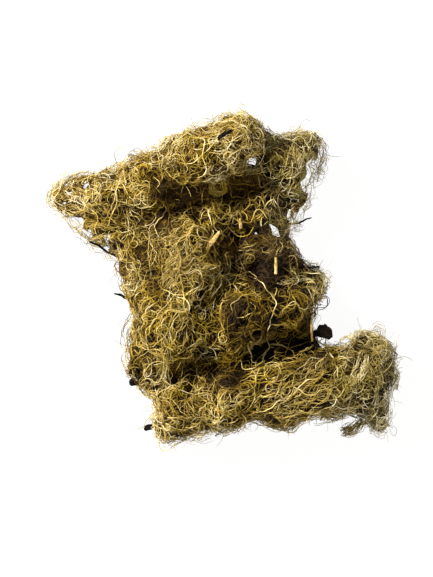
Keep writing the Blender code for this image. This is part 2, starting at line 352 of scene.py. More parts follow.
# Nearly black: partly the bark's own dark colour, partly painted shade of the hollows where the twig and
# flakes lie.
DARK_BARK_AND_SHADE = WoodFinish(
    "weathered_dark_bark", ((0.3, "#020100"), (0.5, "#080502"), (0.7, "#20150b")), grain_mm=1.2
)
PALE_WOOD = WoodFinish(
    "split_pale_wood", ((0.3, "#7c602c"), (0.5, "#b89c60"), (0.7, "#dccb98")), grain_mm=1.5, bump_mm=0.08
)


# ---------------------------------------------------------------- the tangle's skin


@dataclass(frozen=True)
class Patch:
    """A long patch in plan, in millimetres, that fades out at its edge."""

    x: float
    y: float
    half_length: float
    half_width: float
    turn: float = 0.0
    amount: float = 1.0

    def reach(self, points: np.ndarray) -> np.ndarray:
        """How far out points lie.

        Args:
            points: Places, the last axis holding at least x and y.

        Returns:
            Zero at the middle and one at the edge.
        """
        turn = math.radians(self.turn)
        x = points[..., 0] - self.x
        y = points[..., 1] - self.y
        along = x * math.cos(turn) + y * math.sin(turn)
        across = -x * math.sin(turn) + y * math.cos(turn)
        return np.hypot(along / self.half_length, across / self.half_width)

    def cover(self, points: np.ndarray) -> np.ndarray:
        """How much of the patch's effect points get.

        Args:
            points: Places, the last axis holding at least x and y.

        Returns:
            One over the inner half of the patch, falling to zero at its edge.
        """
        part = np.clip(2 * (1 - self.reach(points)), 0, 1)
        return part * part * (3 - 2 * part)


def blend(patches: tuple[Patch, ...], points: np.ndarray) -> np.ndarray:
    """Multiplies the amounts of the patches that cover each point.

    Args:
        patches: The patches.
        points: Places, the last axis holding at least x and y.

    Returns:
        One where no patch lies.
    """
    total = np.ones(points.shape[:-1])
    for patch in patches:
        total *= 1 + (patch.amount - 1) * patch.cover(points)
    return total


# Deep dark recesses between the strands. Their amount is the height of their floor.
HOLLOWS = (
    Patch(-5.0, 30.4, 19.0, 4.0, 4, 8),  # the long cleft under the crest
    Patch(-21.4, 20.6, 2.8, 5.4, -12, 12),
    Patch(-0.5, 11.4, 5.4, 2.8, -6, 15),
    Patch(20.5, -24.6, 16.5, 5.2, 9, 5),  # the gap over the twig
    Patch(33.0, -21.0, 5.0, 3.6, 20, 6),
    Patch(-16.8, -31.6, 1.7, 5.4, 4, 12),
    Patch(12.2, -18.2, 2.6, 2.2, 0, 14),
    Patch(-11.5, -24.6, 2.4, 1.8, 0, 18),
    Patch(-29.2, -31.8, 2.0, 4.6, -8, 8),
    Patch(-8.4, -5.4, 2.4, 1.6, 0, 26),
    Patch(7.0, -29.5, 5.0, 2.2, 10, 9),
)

# Where the tangle is so loose that what lies behind it shows. Their amount is the share of strands kept.
AIRY = (
    Patch(-51.0, 31.6, 6.0, 3.0, 20, 0.2),
    Patch(-56.2, 27.6, 2.6, 2.2, 0, 0.3),
    Patch(-51.5, 25.2, 3.4, 1.8, 10, 0.3),
    Patch(-50.5, 20.5, 3.4, 2.6, 0, 0.25),
    Patch(-44.0, 16.4, 6.0, 2.4, -4, 0.15),
    Patch(-39.4, 9.2, 5.4, 3.0, -36, 0.15),
    Patch(-34.4, 2.0, 2.4, 4.0, 0, 0.3),
    Patch(31.8, 40.5, 4.0, 6.6, -20, 0.14),
    Patch(22.5, 42.0, 2.6, 2.0, 0, 0.2),
    Patch(29.6, 33.0, 3.4, 4.6, 0, 0.15),
    Patch(23.5, 46.8, 4.5, 1.6, 10, 0.3),
    Patch(25.0, 38.0, 15.0, 14.0, 0, 0.62),
    Patch(17.0, 18.0, 7.5, 2.4, 22, 0.08),
    Patch(24.5, 22.5, 4.0, 4.0, 0, 0.3),
    Patch(28.0, 12.5, 3.0, 4.0, 0, 0.4),
    Patch(-34.0, -20.5, 2.4, 13.0, 3, 0.2),
    Patch(36.5, -8.5, 5.0, 4.0, 0, 0.3),
    Patch(31.0, 9.0, 4.0, 3.6, 0, 0.15),
    Patch(10.8, 42.5, 2.6, 4.4, -30, 0.25),
    Patch(22.0, 17.0, 6.0, 3.4, 10, 0.2),
    Patch(61.0, -33.5, 2.2, 5.0, 0, 0.6),
    Patch(59.0, -46.0, 2.2, 6.0, 0, 0.6),
)

# Where a flake or a stick lies on the skin, which stays smooth there. The amount is the share of lumps left.
LEVEL = (
    Patch(0.4, 50.0, 9.0, 6.0, 36, 0.0),
    Patch(-4.2, 13.0, 9.0, 4.5, 52, 0.0),
    Patch(5.7, 19.6, 5.0, 5.0, 0, 0.0),
    Patch(18.1, 5.0, 4.5, 6.5, 0, 0.0),
)

# Painted light and shade: stretches of the tangle made darker, as painted shade, and a few made paler, as
# painted light. Their amount scales the strands' tone.
PAINTED_LIGHT_AND_SHADE = (
    Patch(-13.0, 29.5, 14.0, 6.0, 4, 0.62),
    Patch(2.0, 28.0, 16.0, 8.0, -6, 0.78),
    Patch(-22.0, 10.0, 7.0, 13.0, 0, 0.85),
    Patch(-1.0, 9.5, 7.0, 6.0, 0, 0.7),
    Patch(16.0, 2.0, 10.0, 8.0, 0, 0.52),
    Patch(-20.0, 31.0, 9.0, 5.0, 0, 0.55),
    Patch(4.5, -17.0, 5.0, 6.0, 0, 0.7),
    Patch(-13.0, -44.0, 11.0, 6.0, 0, 0.82),
    Patch(24.0, -1.0, 8.0, 13.0, 0, 0.72),
    Patch(9.0, -14.0, 15.0, 12.0, 0, 0.62),
    Patch(22.0, -17.0, 13.0, 8.0, 0, 0.7),
    Patch(2.0, -31.0, 10.0, 9.0, 0, 0.66),
    Patch(-31.0, -33.0, 4.0, 7.0, 0, 0.55),
    Patch(32.0, -34.0, 11.0, 12.0, 0, 0.78),
    Patch(15.0, -48.0, 12.0, 6.0, 0, 0.8),
    Patch(-15.0, -31.0, 5.0, 8.0, 0, 0.8),
    Patch(-23.0, 34.8, 8.0, 5.0, 10, 0.62),
    Patch(-39.4, 22.0, 8.0, 8.0, 0, 0.74),
    Patch(4.5, -10.0, 5.0, 6.0, 0, 0.66),
    Patch(-2.0, -36.0, 8.0, 6.0, 0, 0.72),
    Patch(34.0, -27.0, 8.0, 5.0, 20, 0.62),
    Patch(48.0, -25.0, 9.0, 5.0, -20, 0.86),
    Patch(51.5, -35.0, 6.0, 9.0, 0, 0.82),
    Patch(57.5, -44.0, 5.0, 7.0, 0, 1.3),
    Patch(-54.0, 28.5, 8.0, 9.0, 0, 1.4),
    Patch(-39.5, 10.0, 6.0, 5.0, -36, 1.5),
    Patch(-31.0, 0.0, 4.0, 7.0, 0, 1.4),
    Patch(-30.6, 43.5, 6.0, 4.0, 20, 0.78),
    Patch(-4.5, -26.5, 5.0, 5.0, 0, 1.5),
    Patch(-4.5, -9.0, 5.0, 5.0, 0, 1.25),
    Patch(-19.0, 50.0, 9.0, 5.0, 20, 1.15),
    Patch(5.0, -35.0, 6.0, 5.0, 0, 0.66),
    Patch(-20.0, 26.0, 8.0, 5.0, -20, 0.66),
    Patch(-6.0, 8.5, 5.0, 5.0, 0, 0.75),
    Patch(13.5, 0.0, 6.0, 5.0, 0, 0.62),
    Patch(-22.0, -36.0, 7.0, 6.0, 0, 1.2),
    Patch(-11.0, 36.0, 9.0, 4.0, 0, 0.8),
    Patch(8.0, 33.0, 10.0, 5.0, 0, 0.55),
    Patch(-27.0, 2.0, 6.0, 6.0, 0, 0.85),
    Patch(-4.5, -1.0, 6.0, 8.0, 0, 1.25),
    Patch(-3.0, 35.4, 5.0, 3.6, 0, 1.4),
    Patch(30.5, 38.0, 7.0, 13.0, 0, 1.45),
    Patch(20.0, 17.0, 8.0, 5.0, 0, 1.5),
    Patch(4.5, 2.0, 5.0, 7.0, 0, 1.35),
    Patch(6.0, -52.5, 12.0, 4.5, 0, 1.2),
    Patch(24.0, -52.5, 9.0, 4.5, 0, 1.2),
    Patch(50.0, -43.0, 9.0, 7.0, 0, 1.35),
    Patch(57.0, -52.0, 6.0, 6.0, 0, 1.35),
    Patch(-13.5, 4.0, 7.0, 10.0, 0, 0.74),
    Patch(-22.0, -2.0, 6.0, 8.0, 0, 0.75),
    Patch(22.0, -34.0, 18.0, 6.0, 20, 0.72),
)


class SkinField:
    """Signed distance to the tangle's outer skin and its outward direction, read off a grid."""

    cell = 1.2
    margin = 8.4

    def __init__(self, tufts: list[bpy.types.Object], hollows: tuple[Patch, ...]) -> None:
        """Measures the skin.

        Args:
            tufts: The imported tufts.
            hollows: The recesses to push out of it.
        """
        tree, low, high = self._whole_skin(tufts)
        self.low = low - self.margin
        coarse_counts = np.ceil((high - low + 2 * self.margin) / (2 * self.cell)).astype(int) + 1
        coarse_axes = [self.low[i] + 2 * self.cell * np.arange(coarse_counts[i]) for i in range(3)]
        coarse = np.stack(np.meshgrid(*coarse_axes, indexing="ij"), axis=-1)
        distance = np.empty(coarse.shape[:3])
        for index in np.ndindex(distance.shape):
            spot = Vector(coarse[index] * MM)
            near, normal, _, gap = tree.find_nearest(spot)
            distance[index] = math.copysign(gap / MM, (spot - near).dot(normal))
        for axis in range(3):
            distance = self._twice_as_fine(distance, axis)
        axes = [self.low[i] + self.cell * np.arange(distance.shape[i]) for i in range(3)]
        grid = np.stack(np.meshgrid(*axes, indexing="ij"), axis=-1)
        self.plain = self._pack(distance)
        carved = distance + self._lumps(grid)
        for hollow in hollows:
            carved = np.maximum(carved, -self._into_hollow(grid, hollow))
        self.carved = self._pack(carved)

    @staticmethod
    def _twice_as_fine(values: np.ndarray, axis: int) -> np.ndarray:
        """Puts the mean of each two neighbours between them, along one axis."""
        values = np.moveaxis(values, axis, 0)
        fine = np.empty((2 * len(values) - 1, *values.shape[1:]))
        fine[::2] = values
        fine[1::2] = (values[1:] + values[:-1]) / 2
        return np.moveaxis(fine, 0, axis)

    @staticmethod
    def _whole_skin(tufts: list[bpy.types.Object]) -> tuple[BVHTree, np.ndarray, np.ndarray]:
        """One closed skin over all the tufts, with the slits between them closed by a voxel remesh."""
        shape = bmesh.new()
        for tuft in tufts:
            shape.from_mesh(tuft.data)
        mesh = bpy.data.meshes.new("whole_skin")
        shape.to_mesh(mesh)
        shape.free()
        whole = bpy.data.objects.new("whole_skin", mesh)
        bpy.context.scene.collection.objects.link(whole)
        remesh = whole.modifiers.new("close", "REMESH")
        remesh.mode = "VOXEL"
        remesh.voxel_size = 1.2 * MM
        graph = bpy.context.evaluated_depsgraph_get()
        graph.update()
        closed = bpy.data.meshes.new_from_object(whole.evaluated_get(graph))
        spots = np.empty(len(closed.vertices) * 3)
        closed.vertices.foreach_get("co", spots)
        spots = spots.reshape(-1, 3) / MM
        tree = BVHTree.FromPolygons([v.co for v in closed.vertices], [p.vertices for p in closed.polygons])
        bpy.data.objects.remove(whole)
        bpy.data.meshes.remove(mesh)
        bpy.data.meshes.remove(closed)
        return tree, spots.min(axis=0), spots.max(axis=0)

    @staticmethod
    def _waves(grid: np.ndarray, seed: int, count: int, lengths: tuple[float, float]) -> np.ndarray:
        """A soft random field with a spread of one, made of plane waves."""
        rng = np.random.default_rng(seed)
        total = np.zeros(grid.shape[:-1])
        for _ in range(count):
            wave = rng.normal(size=3)
            wave *= 2 * np.pi / (rng.uniform(*lengths) * np.linalg.norm(wave))
            total += np.sin(grid @ wave + rng.uniform(0, 2 * np.pi))
        return total * math.sqrt(2 / count)

    def _lumps(self, grid: np.ndarray) -> np.ndarray:
        """Soft lumps some 10 mm across, as bunched strands leave them, with smaller pits between them."""
        lumps = self._waves(grid, 11, 14, (7.0, 14.0))
        pits = self._waves(grid, 12, 16, (5.5, 8.5))
        depth = 0.8 * lumps + 3.4 * np.clip(pits - 0.6, 0, 1.2) * np.clip((grid[..., 2] - 6) / 8, 0, 1)
        return depth * blend(LEVEL, grid)

    @staticmethod
    def _into_hollow(grid: np.ndarray, hollow: Patch) -> np.ndarray:
        """Signed distance to a hollow's wall, below zero inside it."""
        plan = hollow.reach(grid)
        up = np.minimum(grid[..., 2] - (hollow.amount + hollow.half_width), 0) / hollow.half_width
        reach = np.hypot(plan, up)
        return (reach - 1) * hollow.half_width

    def _pack(self, distance: np.ndarray) -> np.ndarray:
        """The distance with its slope along each axis, in one array."""
        slopes = np.gradient(distance, self.cell)
        return np.stack([distance, *slopes], axis=-1)

    def read(self, points: np.ndarray, carved: bool = True) -> tuple[np.ndarray, np.ndarray]:
        """Reads the field.

        Args:
            points: Places in millimetres, one a row.
            carved: Whether the hollows and lumps count.

        Returns:
            The signed distances, below zero inside, and the outward unit directions.
        """
        field = self.carved if carved else self.plain
        place = (points - self.low) / self.cell
        limit = np.array(field.shape[:3]) - 1.001
        place = np.clip(place, 0, limit)
        base = place.astype(int)
        part = place - base
        total = np.zeros((len(points), 4))
        for corner in np.ndindex(2, 2, 2):
            share = np.prod(np.where(corner, part, 1 - part), axis=1)
            spot = base + np.array(corner)
            total += share[:, None] * field[spot[:, 0], spot[:, 1], spot[:, 2]]
        outward = total[:, 1:]
        size = np.linalg.norm(outward, axis=1, keepdims=True)
        return total[:, 0], outward / np.maximum(size, 1e-9)

    def top(self, plan: np.ndarray, carved: bool) -> np.ndarray:
        """Finds the skin's height.

        Args:
            plan: Places in plan, one a row.
            carved: Whether the hollows and lumps count.

        Returns:
            The height of the highest skin over each place, or zero beyond the outline.
        """
        levels = np.arange(48.0, 0.0, -0.5)
        column = np.broadcast_to(plan[:, None, :2], (len(plan), len(levels), 2))
        heights = np.broadcast_to(levels[None, :, None], (len(plan), len(levels), 1))
        column = np.concatenate([column, heights], axis=-1)
        depth = self.read(column.reshape(-1, 3), carved)[0].reshape(len(plan), -1)
        inside = depth < 0
        return np.where(inside.any(axis=1), levels[inside.argmax(axis=1)], 0.0)


# ---------------------------------------------------------------- strands


@dataclass(frozen=True)
class Habit:
    """How one kind of strand grows, in millimetres.

    Curl is the radius of its curls, wander the length over which its curl changes, swing how far it
    rises and dips, frizz its fine crinkle, and comb how strongly it follows the tuft's flow. A lock is a
    group that grows side by side. An over strand spans the hollows instead of following them.
    """

    share: float
    length: tuple[float, float]
    width: tuple[float, float]
    curl: float
    depth: tuple[float, float]
    tone: tuple[float, float]
    step: float = 0.85
    wander: float = 5.0
    swing: float = 1.0
    frizz: float = 0.12
    tip: float = 0.45
    comb: float = 0.0
    flow: float = 0.0
    lock: int = 4
    spread: float = 0.9
    over: bool = False


@dataclass(frozen=True)
class Tuft:
    """One tuft: its node, its finish, what grows on it, and how deep its felt is and how dark, a darkness
    that is partly painted shade.
    """

    node: str
    slot: str
    finish: LichenFinish
    habits: tuple[Habit, ...]
    felt_depth: float = 2.6
    felt_tone: float = 0.2
    strays: int = 14


def unit(vectors: np.ndarray) -> np.ndarray:
    """Scales each row to length one."""
    return vectors / np.maximum(np.linalg.norm(vectors, axis=-1, keepdims=True), 1e-9)


# Few strands are spent on the under side and most on the upper side.
UP_STEPS = (-1, -0.6, 0, 0.5, 1)
UP_WEIGHTS = (0.06, 0.14, 0.5, 1.0, 1.15)
# Nothing in the tangle comes nearer to the floor than this, in millimetres.
FLOOR_CLEARANCE = 0.35
# A tuft's face counts as outer skin when it lies no deeper than this in the whole tangle, in millimetres.
OUTER_SKIN = -1.2


class StrandGrower:
    """Grows strands as smooth random walks that curl within a layer under the skin."""

    def __init__(self, field: SkinField, seed: int) -> None:
        """Keeps the field and a seeded source of chance."""
        self.field = field
        self.rng = np.random.default_rng(seed)

    def seeds_on(
        self, node: bpy.types.Object, count: int, rim: bool = False
    ) -> tuple[np.ndarray, np.ndarray]:
        """Picks places spread over a tuft's outer skin, fewer on its under side and where it is airy.

        Args:
            node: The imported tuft.
            count: How many places.
            rim: Whether only the steep sides count.

        Returns:
            The places and the outward directions there.
        """
        mesh = node.data
        mesh.calc_loop_triangles()
        spots = np.empty(len(mesh.vertices) * 3)
        mesh.vertices.foreach_get("co", spots)
        spots = spots.reshape(-1, 3) / MM
        corners = np.empty(len(mesh.loop_triangles) * 3, dtype=int)
        mesh.loop_triangles.foreach_get("vertices", corners)
        triangles = spots[corners.reshape(-1, 3)]
        cross = np.cross(triangles[:, 1] - triangles[:, 0], triangles[:, 2] - triangles[:, 0])
        area = np.linalg.norm(cross, axis=1) / 2
        up = cross[:, 2] / np.maximum(2 * area, 1e-9)
        inner, _ = self.field.read(triangles.mean(axis=1), carved=False)
        weight = area * np.interp(up, UP_STEPS, UP_WEIGHTS) * (inner > OUTER_SKIN)
        if rim:
            weight = weight * (np.abs(up) < 0.6)
        chosen = self.rng.choice(len(area), size=3 * count, p=weight / weight.sum())
        a, b = self.rng.random((2, 3 * count))
        flip = a + b > 1
        a, b = np.where(flip, 1 - a, a), np.where(flip, 1 - b, b)
        picked = triangles[chosen]
        places = (
            picked[:, 0]
            + a[:, None] * (picked[:, 1] - picked[:, 0])
            + b[:, None] * (picked[:, 2] - picked[:, 0])
        )
        if not rim:
            kept = self.rng.random(3 * count) < blend(AIRY, places)
            places = places[kept]
        places = places[:count]
        return places, self.field.read(places)[1]

    def grow(
        self, places: np.ndarray, habit: Habit, headings: np.ndarray | None = None
    ) -> tuple[np.ndarray, np.ndarray, np.ndarray]:
        """Grows a lock of strands from each place.

        Args:
            places: The starts.
            habit: How they grow.
            headings: Way each sets off, for side branchlets, which start right at their places.

        Returns:
            The points of each strand, how many of them count, and each strand's half width.
        """
        rng = self.rng
        carved = not habit.over
        locks = len(places)
        of_lock = np.repeat(np.arange(locks), habit.lock)
        count = len(of_lock)
        lengths = rng.uniform(*habit.length, locks)[of_lock] * rng.uniform(0.6, 1.2, count)
        steps = np.maximum((lengths / habit.step).astype(int), 4)
        most = int(steps.max()) + 1
        if headings is None:
            depth = -rng.uniform(*habit.depth, locks)[of_lock] + rng.normal(size=count) * 0.3
            places = places[of_lock] + rng.normal(size=(count, 3)) * habit.spread
            distance, outward = self.field.read(places, carved)
            point = places + outward * (depth - distance)[:, None]
            aside = rng.normal(size=(locks, 3))[of_lock] + rng.normal(size=(count, 3)) * 0.25
            heading = unit(np.cross(outward, aside))
        else:
            point = places.copy()
            depth = self.field.read(places, carved)[0]
            heading = headings
        turn = math.radians(habit.flow)
        flow = np.array([math.cos(turn), math.sin(turn), 0.0])
        sign = rng.choice([-1.0, 1.0], locks)[of_lock][:, None]
        if habit.comb:
            heading = unit(heading * (1 - habit.comb) + flow * sign)
        curl = habit.curl * np.exp(rng.normal(size=locks) * 0.45)[of_lock]
        turning = rng.normal(size=locks)[of_lock] / curl
        keep = math.exp(-habit.step / habit.wander)
        kick = math.sqrt(1 - keep * keep) / curl
        wave = rng.uniform(5, 12, locks)[of_lock] * rng.uniform(0.9, 1.1, count)
        phase = rng.uniform(0, 2 * np.pi, locks)[of_lock] + rng.normal(size=count) * 0.4
        path = np.empty((count, most, 3))
        for k in range(most):
            point[:, 2] = np.maximum(point[:, 2], FLOOR_CLEARANCE)
            path[:, k] = point
            distance, outward = self.field.read(point, carved)
            aim = depth + habit.swing * np.sin(k * habit.step / wave * 2 * np.pi + phase)
            rise = np.clip((aim - distance) / 1.6, -0.75, 0.75)
            lift = np.einsum("ij,ij->i", heading, outward)
            flat = heading - outward * lift[:, None]
            heading = unit(unit(flat) + outward * (0.55 * lift + 0.45 * rise)[:, None])
            shared = rng.normal(size=locks)[of_lock]
            turning = turning * keep + (0.88 * shared + 0.47 * rng.normal(size=count)) * kick
            angle = (turning + rng.normal(size=count) * habit.frizz) * habit.step
            side = np.cross(outward, heading)
            heading = unit(heading * np.cos(angle)[:, None] + side * np.sin(angle)[:, None])
            if habit.comb:
                heading = unit(heading + flow * sign * habit.comb * 0.3)
            heading = unit(heading + rng.normal(size=(count, 3)) * 0.03)
            point = point + heading * habit.step
        halves = rng.uniform(*habit.width, count) / 2
        return path, steps, halves

    def branch_starts(
        self, path: np.ndarray, steps: np.ndarray, count: int
    ) -> tuple[np.ndarray, np.ndarray]:
        """Picks places along grown strands and the ways in which side branchlets leave them.

        Args:
            path: Points of each strand.
            steps: How many segments of each count.
            count: How many branchlets each strand gets.

        Returns:
            The places and the unit headings.
        """
        strand = np.repeat(np.arange(len(path)), count)
        at = (self.rng.uniform(0.1, 0.9, len(strand)) * steps[strand]).astype(int)
        places = path[strand, at]
        along = unit(path[strand, at + 1] - places)
        outward = self.field.read(places)[1]
        aside = np.cross(outward, along) * self.rng.choice([-1.0, 1.0], len(strand))[:, None]
        return places, unit(
            along + aside * self.rng.uniform(0.5, 1.2, len(strand))[:, None] + outward * 0.1
        )

    def thin(
        self, path: np.ndarray, steps: np.ndarray, halves: np.ndarray
    ) -> tuple[np.ndarray, np.ndarray, np.ndarray]:
        """Ends most strands where they reach an airy patch.

        Args:
            path: Points of each strand.
            steps: How many segments of each count.
            halves: Each strand's half width.

        Returns:
            The same for the strands that are left.
        """
        stopped = blend(AIRY, path) < self.rng.random((len(path), 1))
        free = np.where(stopped.any(axis=1), stopped.argmax(axis=1) - 1, path.shape[1])
        steps = np.minimum(steps, free)
        kept = steps >= 2
        return path[kept], steps[kept], halves[kept]

    def stray(
        self, places: np.ndarray, outward: np.ndarray, step: float = 0.8
    ) -> tuple[np.ndarray, np.ndarray, np.ndarray]:
        """Grows fine hairs that leave the tangle and arch freely.

        Args:
            places: The starts.
            outward: The ways out of the tangle there.
            step: Length of a segment in millimetres.

        Returns:
            The points of each hair, how many of them count, and each hair's half width.
        """
        rng = self.rng
        count = len(places)
        steps = np.maximum((rng.gamma(1.8, 1.9, count).clip(2.0, 10) / step).astype(int), 3)
        most = int(steps.max()) + 1
        side = unit(np.cross(outward, rng.normal(size=(count, 3))))
        heading = unit(outward * 0.7 + side + rng.normal(size=(count, 3)) * 0.15)
        axis = unit(np.cross(outward, side))
        radius = rng.uniform(2.2, 9.0, count) * rng.choice([-1.0, 1.0], count)
        point = places - outward * 0.5
        path = np.empty((count, most, 3))
        for k in range(most):
            point[:, 2] = np.maximum(point[:, 2], FLOOR_CLEARANCE)
            path[:, k] = point
            heading = unit(heading + np.cross(axis, heading) * (step / radius)[:, None])
            heading = unit(heading + rng.normal(size=(count, 3)) * 0.05)
            point = point + heading * step
        return path, steps, rng.uniform(0.08, 0.18, count) / 2


class StrandMesh:
    """Gathers strands and writes them as one mesh of slim three-sided tubes."""

    sides = 3

    def __init__(self) -> None:
        """Starts with no strands."""
        self.batches: list[tuple[np.ndarray, np.ndarray, np.ndarray, np.ndarray, float]] = []

    def add(
        self, path: np.ndarray, steps: np.ndarray, halves: np.ndarray, tones: np.ndarray, tip: float
    ) -> None:
        """Adds a batch of strands.

        Args:
            path: Points of each strand, padded to one length.
            steps: How many segments of each count.
            halves: Half width of each.
            tones: Tone at each point.
            tip: Share of the width that is left at the ends.
        """
        self.batches.append((path, steps, halves, tones, tip))

    def triangles(self) -> int:
        """How many triangles the mesh will have."""
        return sum(
            int((steps * 2 * self.sides).sum()) + 2 * len(steps) for _, steps, _, _, _ in self.batches
        )

    def build(self, name: str) -> bpy.types.Object:
        """Writes the mesh.

        Args:
            name: The piece's name.

        Returns:
            The new object, at the origin.
        """
        points, faces, loops_uv, tones = [], [], [], []
        base = 0
        strands = sum(len(batch[1]) for batch in self.batches)
        row = 0
        for path, steps, halves, tone, tip in self.batches:
            ring, quads, caps, uv, shade = self._batch(path, steps, halves, tone, tip, row, strands)
            points.append(ring)
            faces.append((quads + base, caps + base))
            loops_uv.append(uv)
            tones.append(shade)
            base += len(ring)
            row += len(steps)
        return self._write(name, points, faces, loops_uv, tones)

    def _batch(
        self,
        path: np.ndarray,
        steps: np.ndarray,
        halves: np.ndarray,
        tone: np.ndarray,
        tip: float,
        row: int,
        rows: int,
    ) -> tuple[np.ndarray, np.ndarray, np.ndarray, tuple[np.ndarray, np.ndarray], np.ndarray]:
        """Tube points, side faces, end faces, map places and tones of one batch."""
        count, most, _ = path.shape
        index = np.arange(most)[None, :]
        valid = index <= steps[:, None]
        tangent = np.empty_like(path)
        tangent[:, 1:-1] = path[:, 2:] - path[:, :-2]
        tangent[:, 0] = path[:, 1] - path[:, 0]
        tangent[:, -1] = path[:, -1] - path[:, -2]
        last = np.arange(count)
        tangent[last, steps] = path[last, steps] - path[last, steps - 1]
        tangent = unit(tangent)
        side = unit(np.cross(tangent[:, 0], np.array([0.31, 0.17, 0.93])))
        sides = np.empty_like(path)
        for k in range(most):
            side = unit(side - tangent[:, k] * np.einsum("ij,ij->i", side, tangent[:, k])[:, None])
            sides[:, k] = side
        other = np.cross(tangent, sides)
        along = index / steps[:, None]
        taper = tip + (1 - tip) * np.clip(np.minimum(along, 1 - along) * 6, 0, 1)
        width = halves[:, None] * taper
        turn = 2 * np.pi * np.arange(self.sides) / self.sides
        ring = (
            path[:, :, None, :]
            + (sides[:, :, None, :] * np.cos(turn)[:, None] + other[:, :, None, :] * np.sin(turn)[:, None])
            * width[:, :, None, None]
        )
        number = np.cumsum(valid.reshape(-1)).reshape(valid.shape) - 1
        ring = ring[valid]
        starts = number[:, :-1][valid[:, 1:]]
        corner = np.arange(self.sides)
        near = starts[:, None] * self.sides + corner
        far = near + self.sides
        after = (corner + 1) % self.sides
        quads = np.stack([near, near[:, after], far[:, after], far], axis=-1).reshape(-1, 4)
        first = number[:, 0][:, None] * self.sides + corner[::-1]
        end = number[last, steps][:, None] * self.sides + corner
        caps = np.concatenate([first, end])
        u = along[:, :-1][valid[:, 1:]]
        step_u = np.broadcast_to((1 / steps)[:, None], along[:, :-1].shape)[valid[:, 1:]]
        strand = np.broadcast_to(np.arange(count)[:, None], along[:, :-1].shape)[valid[:, 1:]]
        v = (row + strand[:, None] + 0.05 + 0.9 * corner / self.sides) / rows
        v_next = (row + strand[:, None] + 0.05 + 0.9 * (corner + 1) / self.sides) / rows
        u_low = np.broadcast_to((0.01 + 0.97 * u)[:, None], v.shape)
        u_high = np.broadcast_to((0.01 + 0.97 * (u + step_u))[:, None], v.shape)
        quad_uv = np.stack(
            [
                np.stack([u_low, v], -1),
                np.stack([u_low, v_next], -1),
                np.stack([u_high, v_next], -1),
                np.stack([u_high, v], -1),
            ],
            axis=2,
        ).reshape(-1, 2)
        cap_v = (row + np.arange(count)[:, None] + np.array([0.1, 0.8, 0.45])) / rows
        low_u = np.broadcast_to(np.array([0.0, 0.0, 0.008]), cap_v.shape)
        high_u = np.broadcast_to(np.array([0.992, 0.992, 1.0]), cap_v.shape)
        cap_uv = np.concatenate(
            [np.stack([low_u, cap_v], -1), np.stack([high_u, cap_v], -1)]
        ).reshape(-1, 2)
        shade = np.repeat(tone[valid], self.sides)
        return ring.reshape(-1, 3), quads, caps, (quad_uv, cap_uv), shade

    def _write(self, name: str, points: list, faces: list, loops_uv: list, tones: list) -> bpy.types.Object:
        """Fills a Blender mesh from the gathered arrays."""
        spots = np.concatenate(points) * MM
        quads = np.concatenate([quad for quad, _ in faces])
        caps = np.concatenate([cap for _, cap in faces])
        places = np.concatenate([uv for uv, _ in loops_uv] + [uv for _, uv in loops_uv])
        corners = np.concatenate([quads.reshape(-1), caps.reshape(-1)]).astype(np.int32)
        starts = np.concatenate([4 * np.arange(len(quads)), 4 * len(quads) + 3 * np.arange(len(caps))])
        mesh = bpy.data.meshes.new(name)
        mesh.vertices.add(len(spots))
        mesh.vertices.foreach_set("co", spots.reshape(-1).astype(np.float32))
        mesh.loops.add(len(corners))
        mesh.loops.foreach_set("vertex_index", corners)
        mesh.polygons.add(len(starts))
        mesh.polygons.foreach_set("loop_start", starts.astype(np.int32))
        mesh.update(calc_edges=True)
        uv_map = mesh.uv_layers.new(name=UV_NAME)
        uv_map.uv.foreach_set("vector", places.reshape(-1).astype(np.float32))
        tone = mesh.attributes.new(TONE, "FLOAT", "POINT")
        tone.data.foreach_set("value", np.concatenate(tones).astype(np.float32))
        mesh.shade_smooth()
        obj = bpy.data.objects.new(name, mesh)
        bpy.context.scene.collection.objects.link(obj)
        return obj


# ---------------------------------------------------------------- strands with a place of their own


@dataclass(frozen=True)
class Track:
    """A strand, or a bundle, along a route on the skin.

    Width is a strand's full width before it is thinned a little, and level is the height that the route
    keeps beyond the outline. Lengths are in millimetres.
    """

    route: tuple[tuple[float, float], ...]
    width: float = 0.34
    tone: float = 0.82
    strands: int = 1
    spread: float = 0.7
    lift: float = 0.4
    level: float = 9.0


def ring(
    x: float, y: float, radius: float, start: float = 0.0, sweep: float = 420.0, squash: float = 1.0
) -> tuple[tuple[float, float], ...]:
    """A coiled route, which widens a little as it goes round.

    Args:
        x: Middle of the coil.
        y: Middle of the coil.
        radius: Its radius at the start.
        start: Direction of its start in degrees.
        sweep: How far it goes round in degrees.
        squash: Its width across as a share of its width along.

    Returns:
        The route's points.
    """
    turns = [math.radians(start + sweep * k / 12) for k in range(13)]
    radii = [radius * (1 + 0.02 * k + 0.14 * math.sin(1.9 * k + x + 2 * y)) for k in range(13)]
    return tuple((x + r * math.cos(t), y + r * squash * math.sin(t)) for r, t in zip(radii, turns))


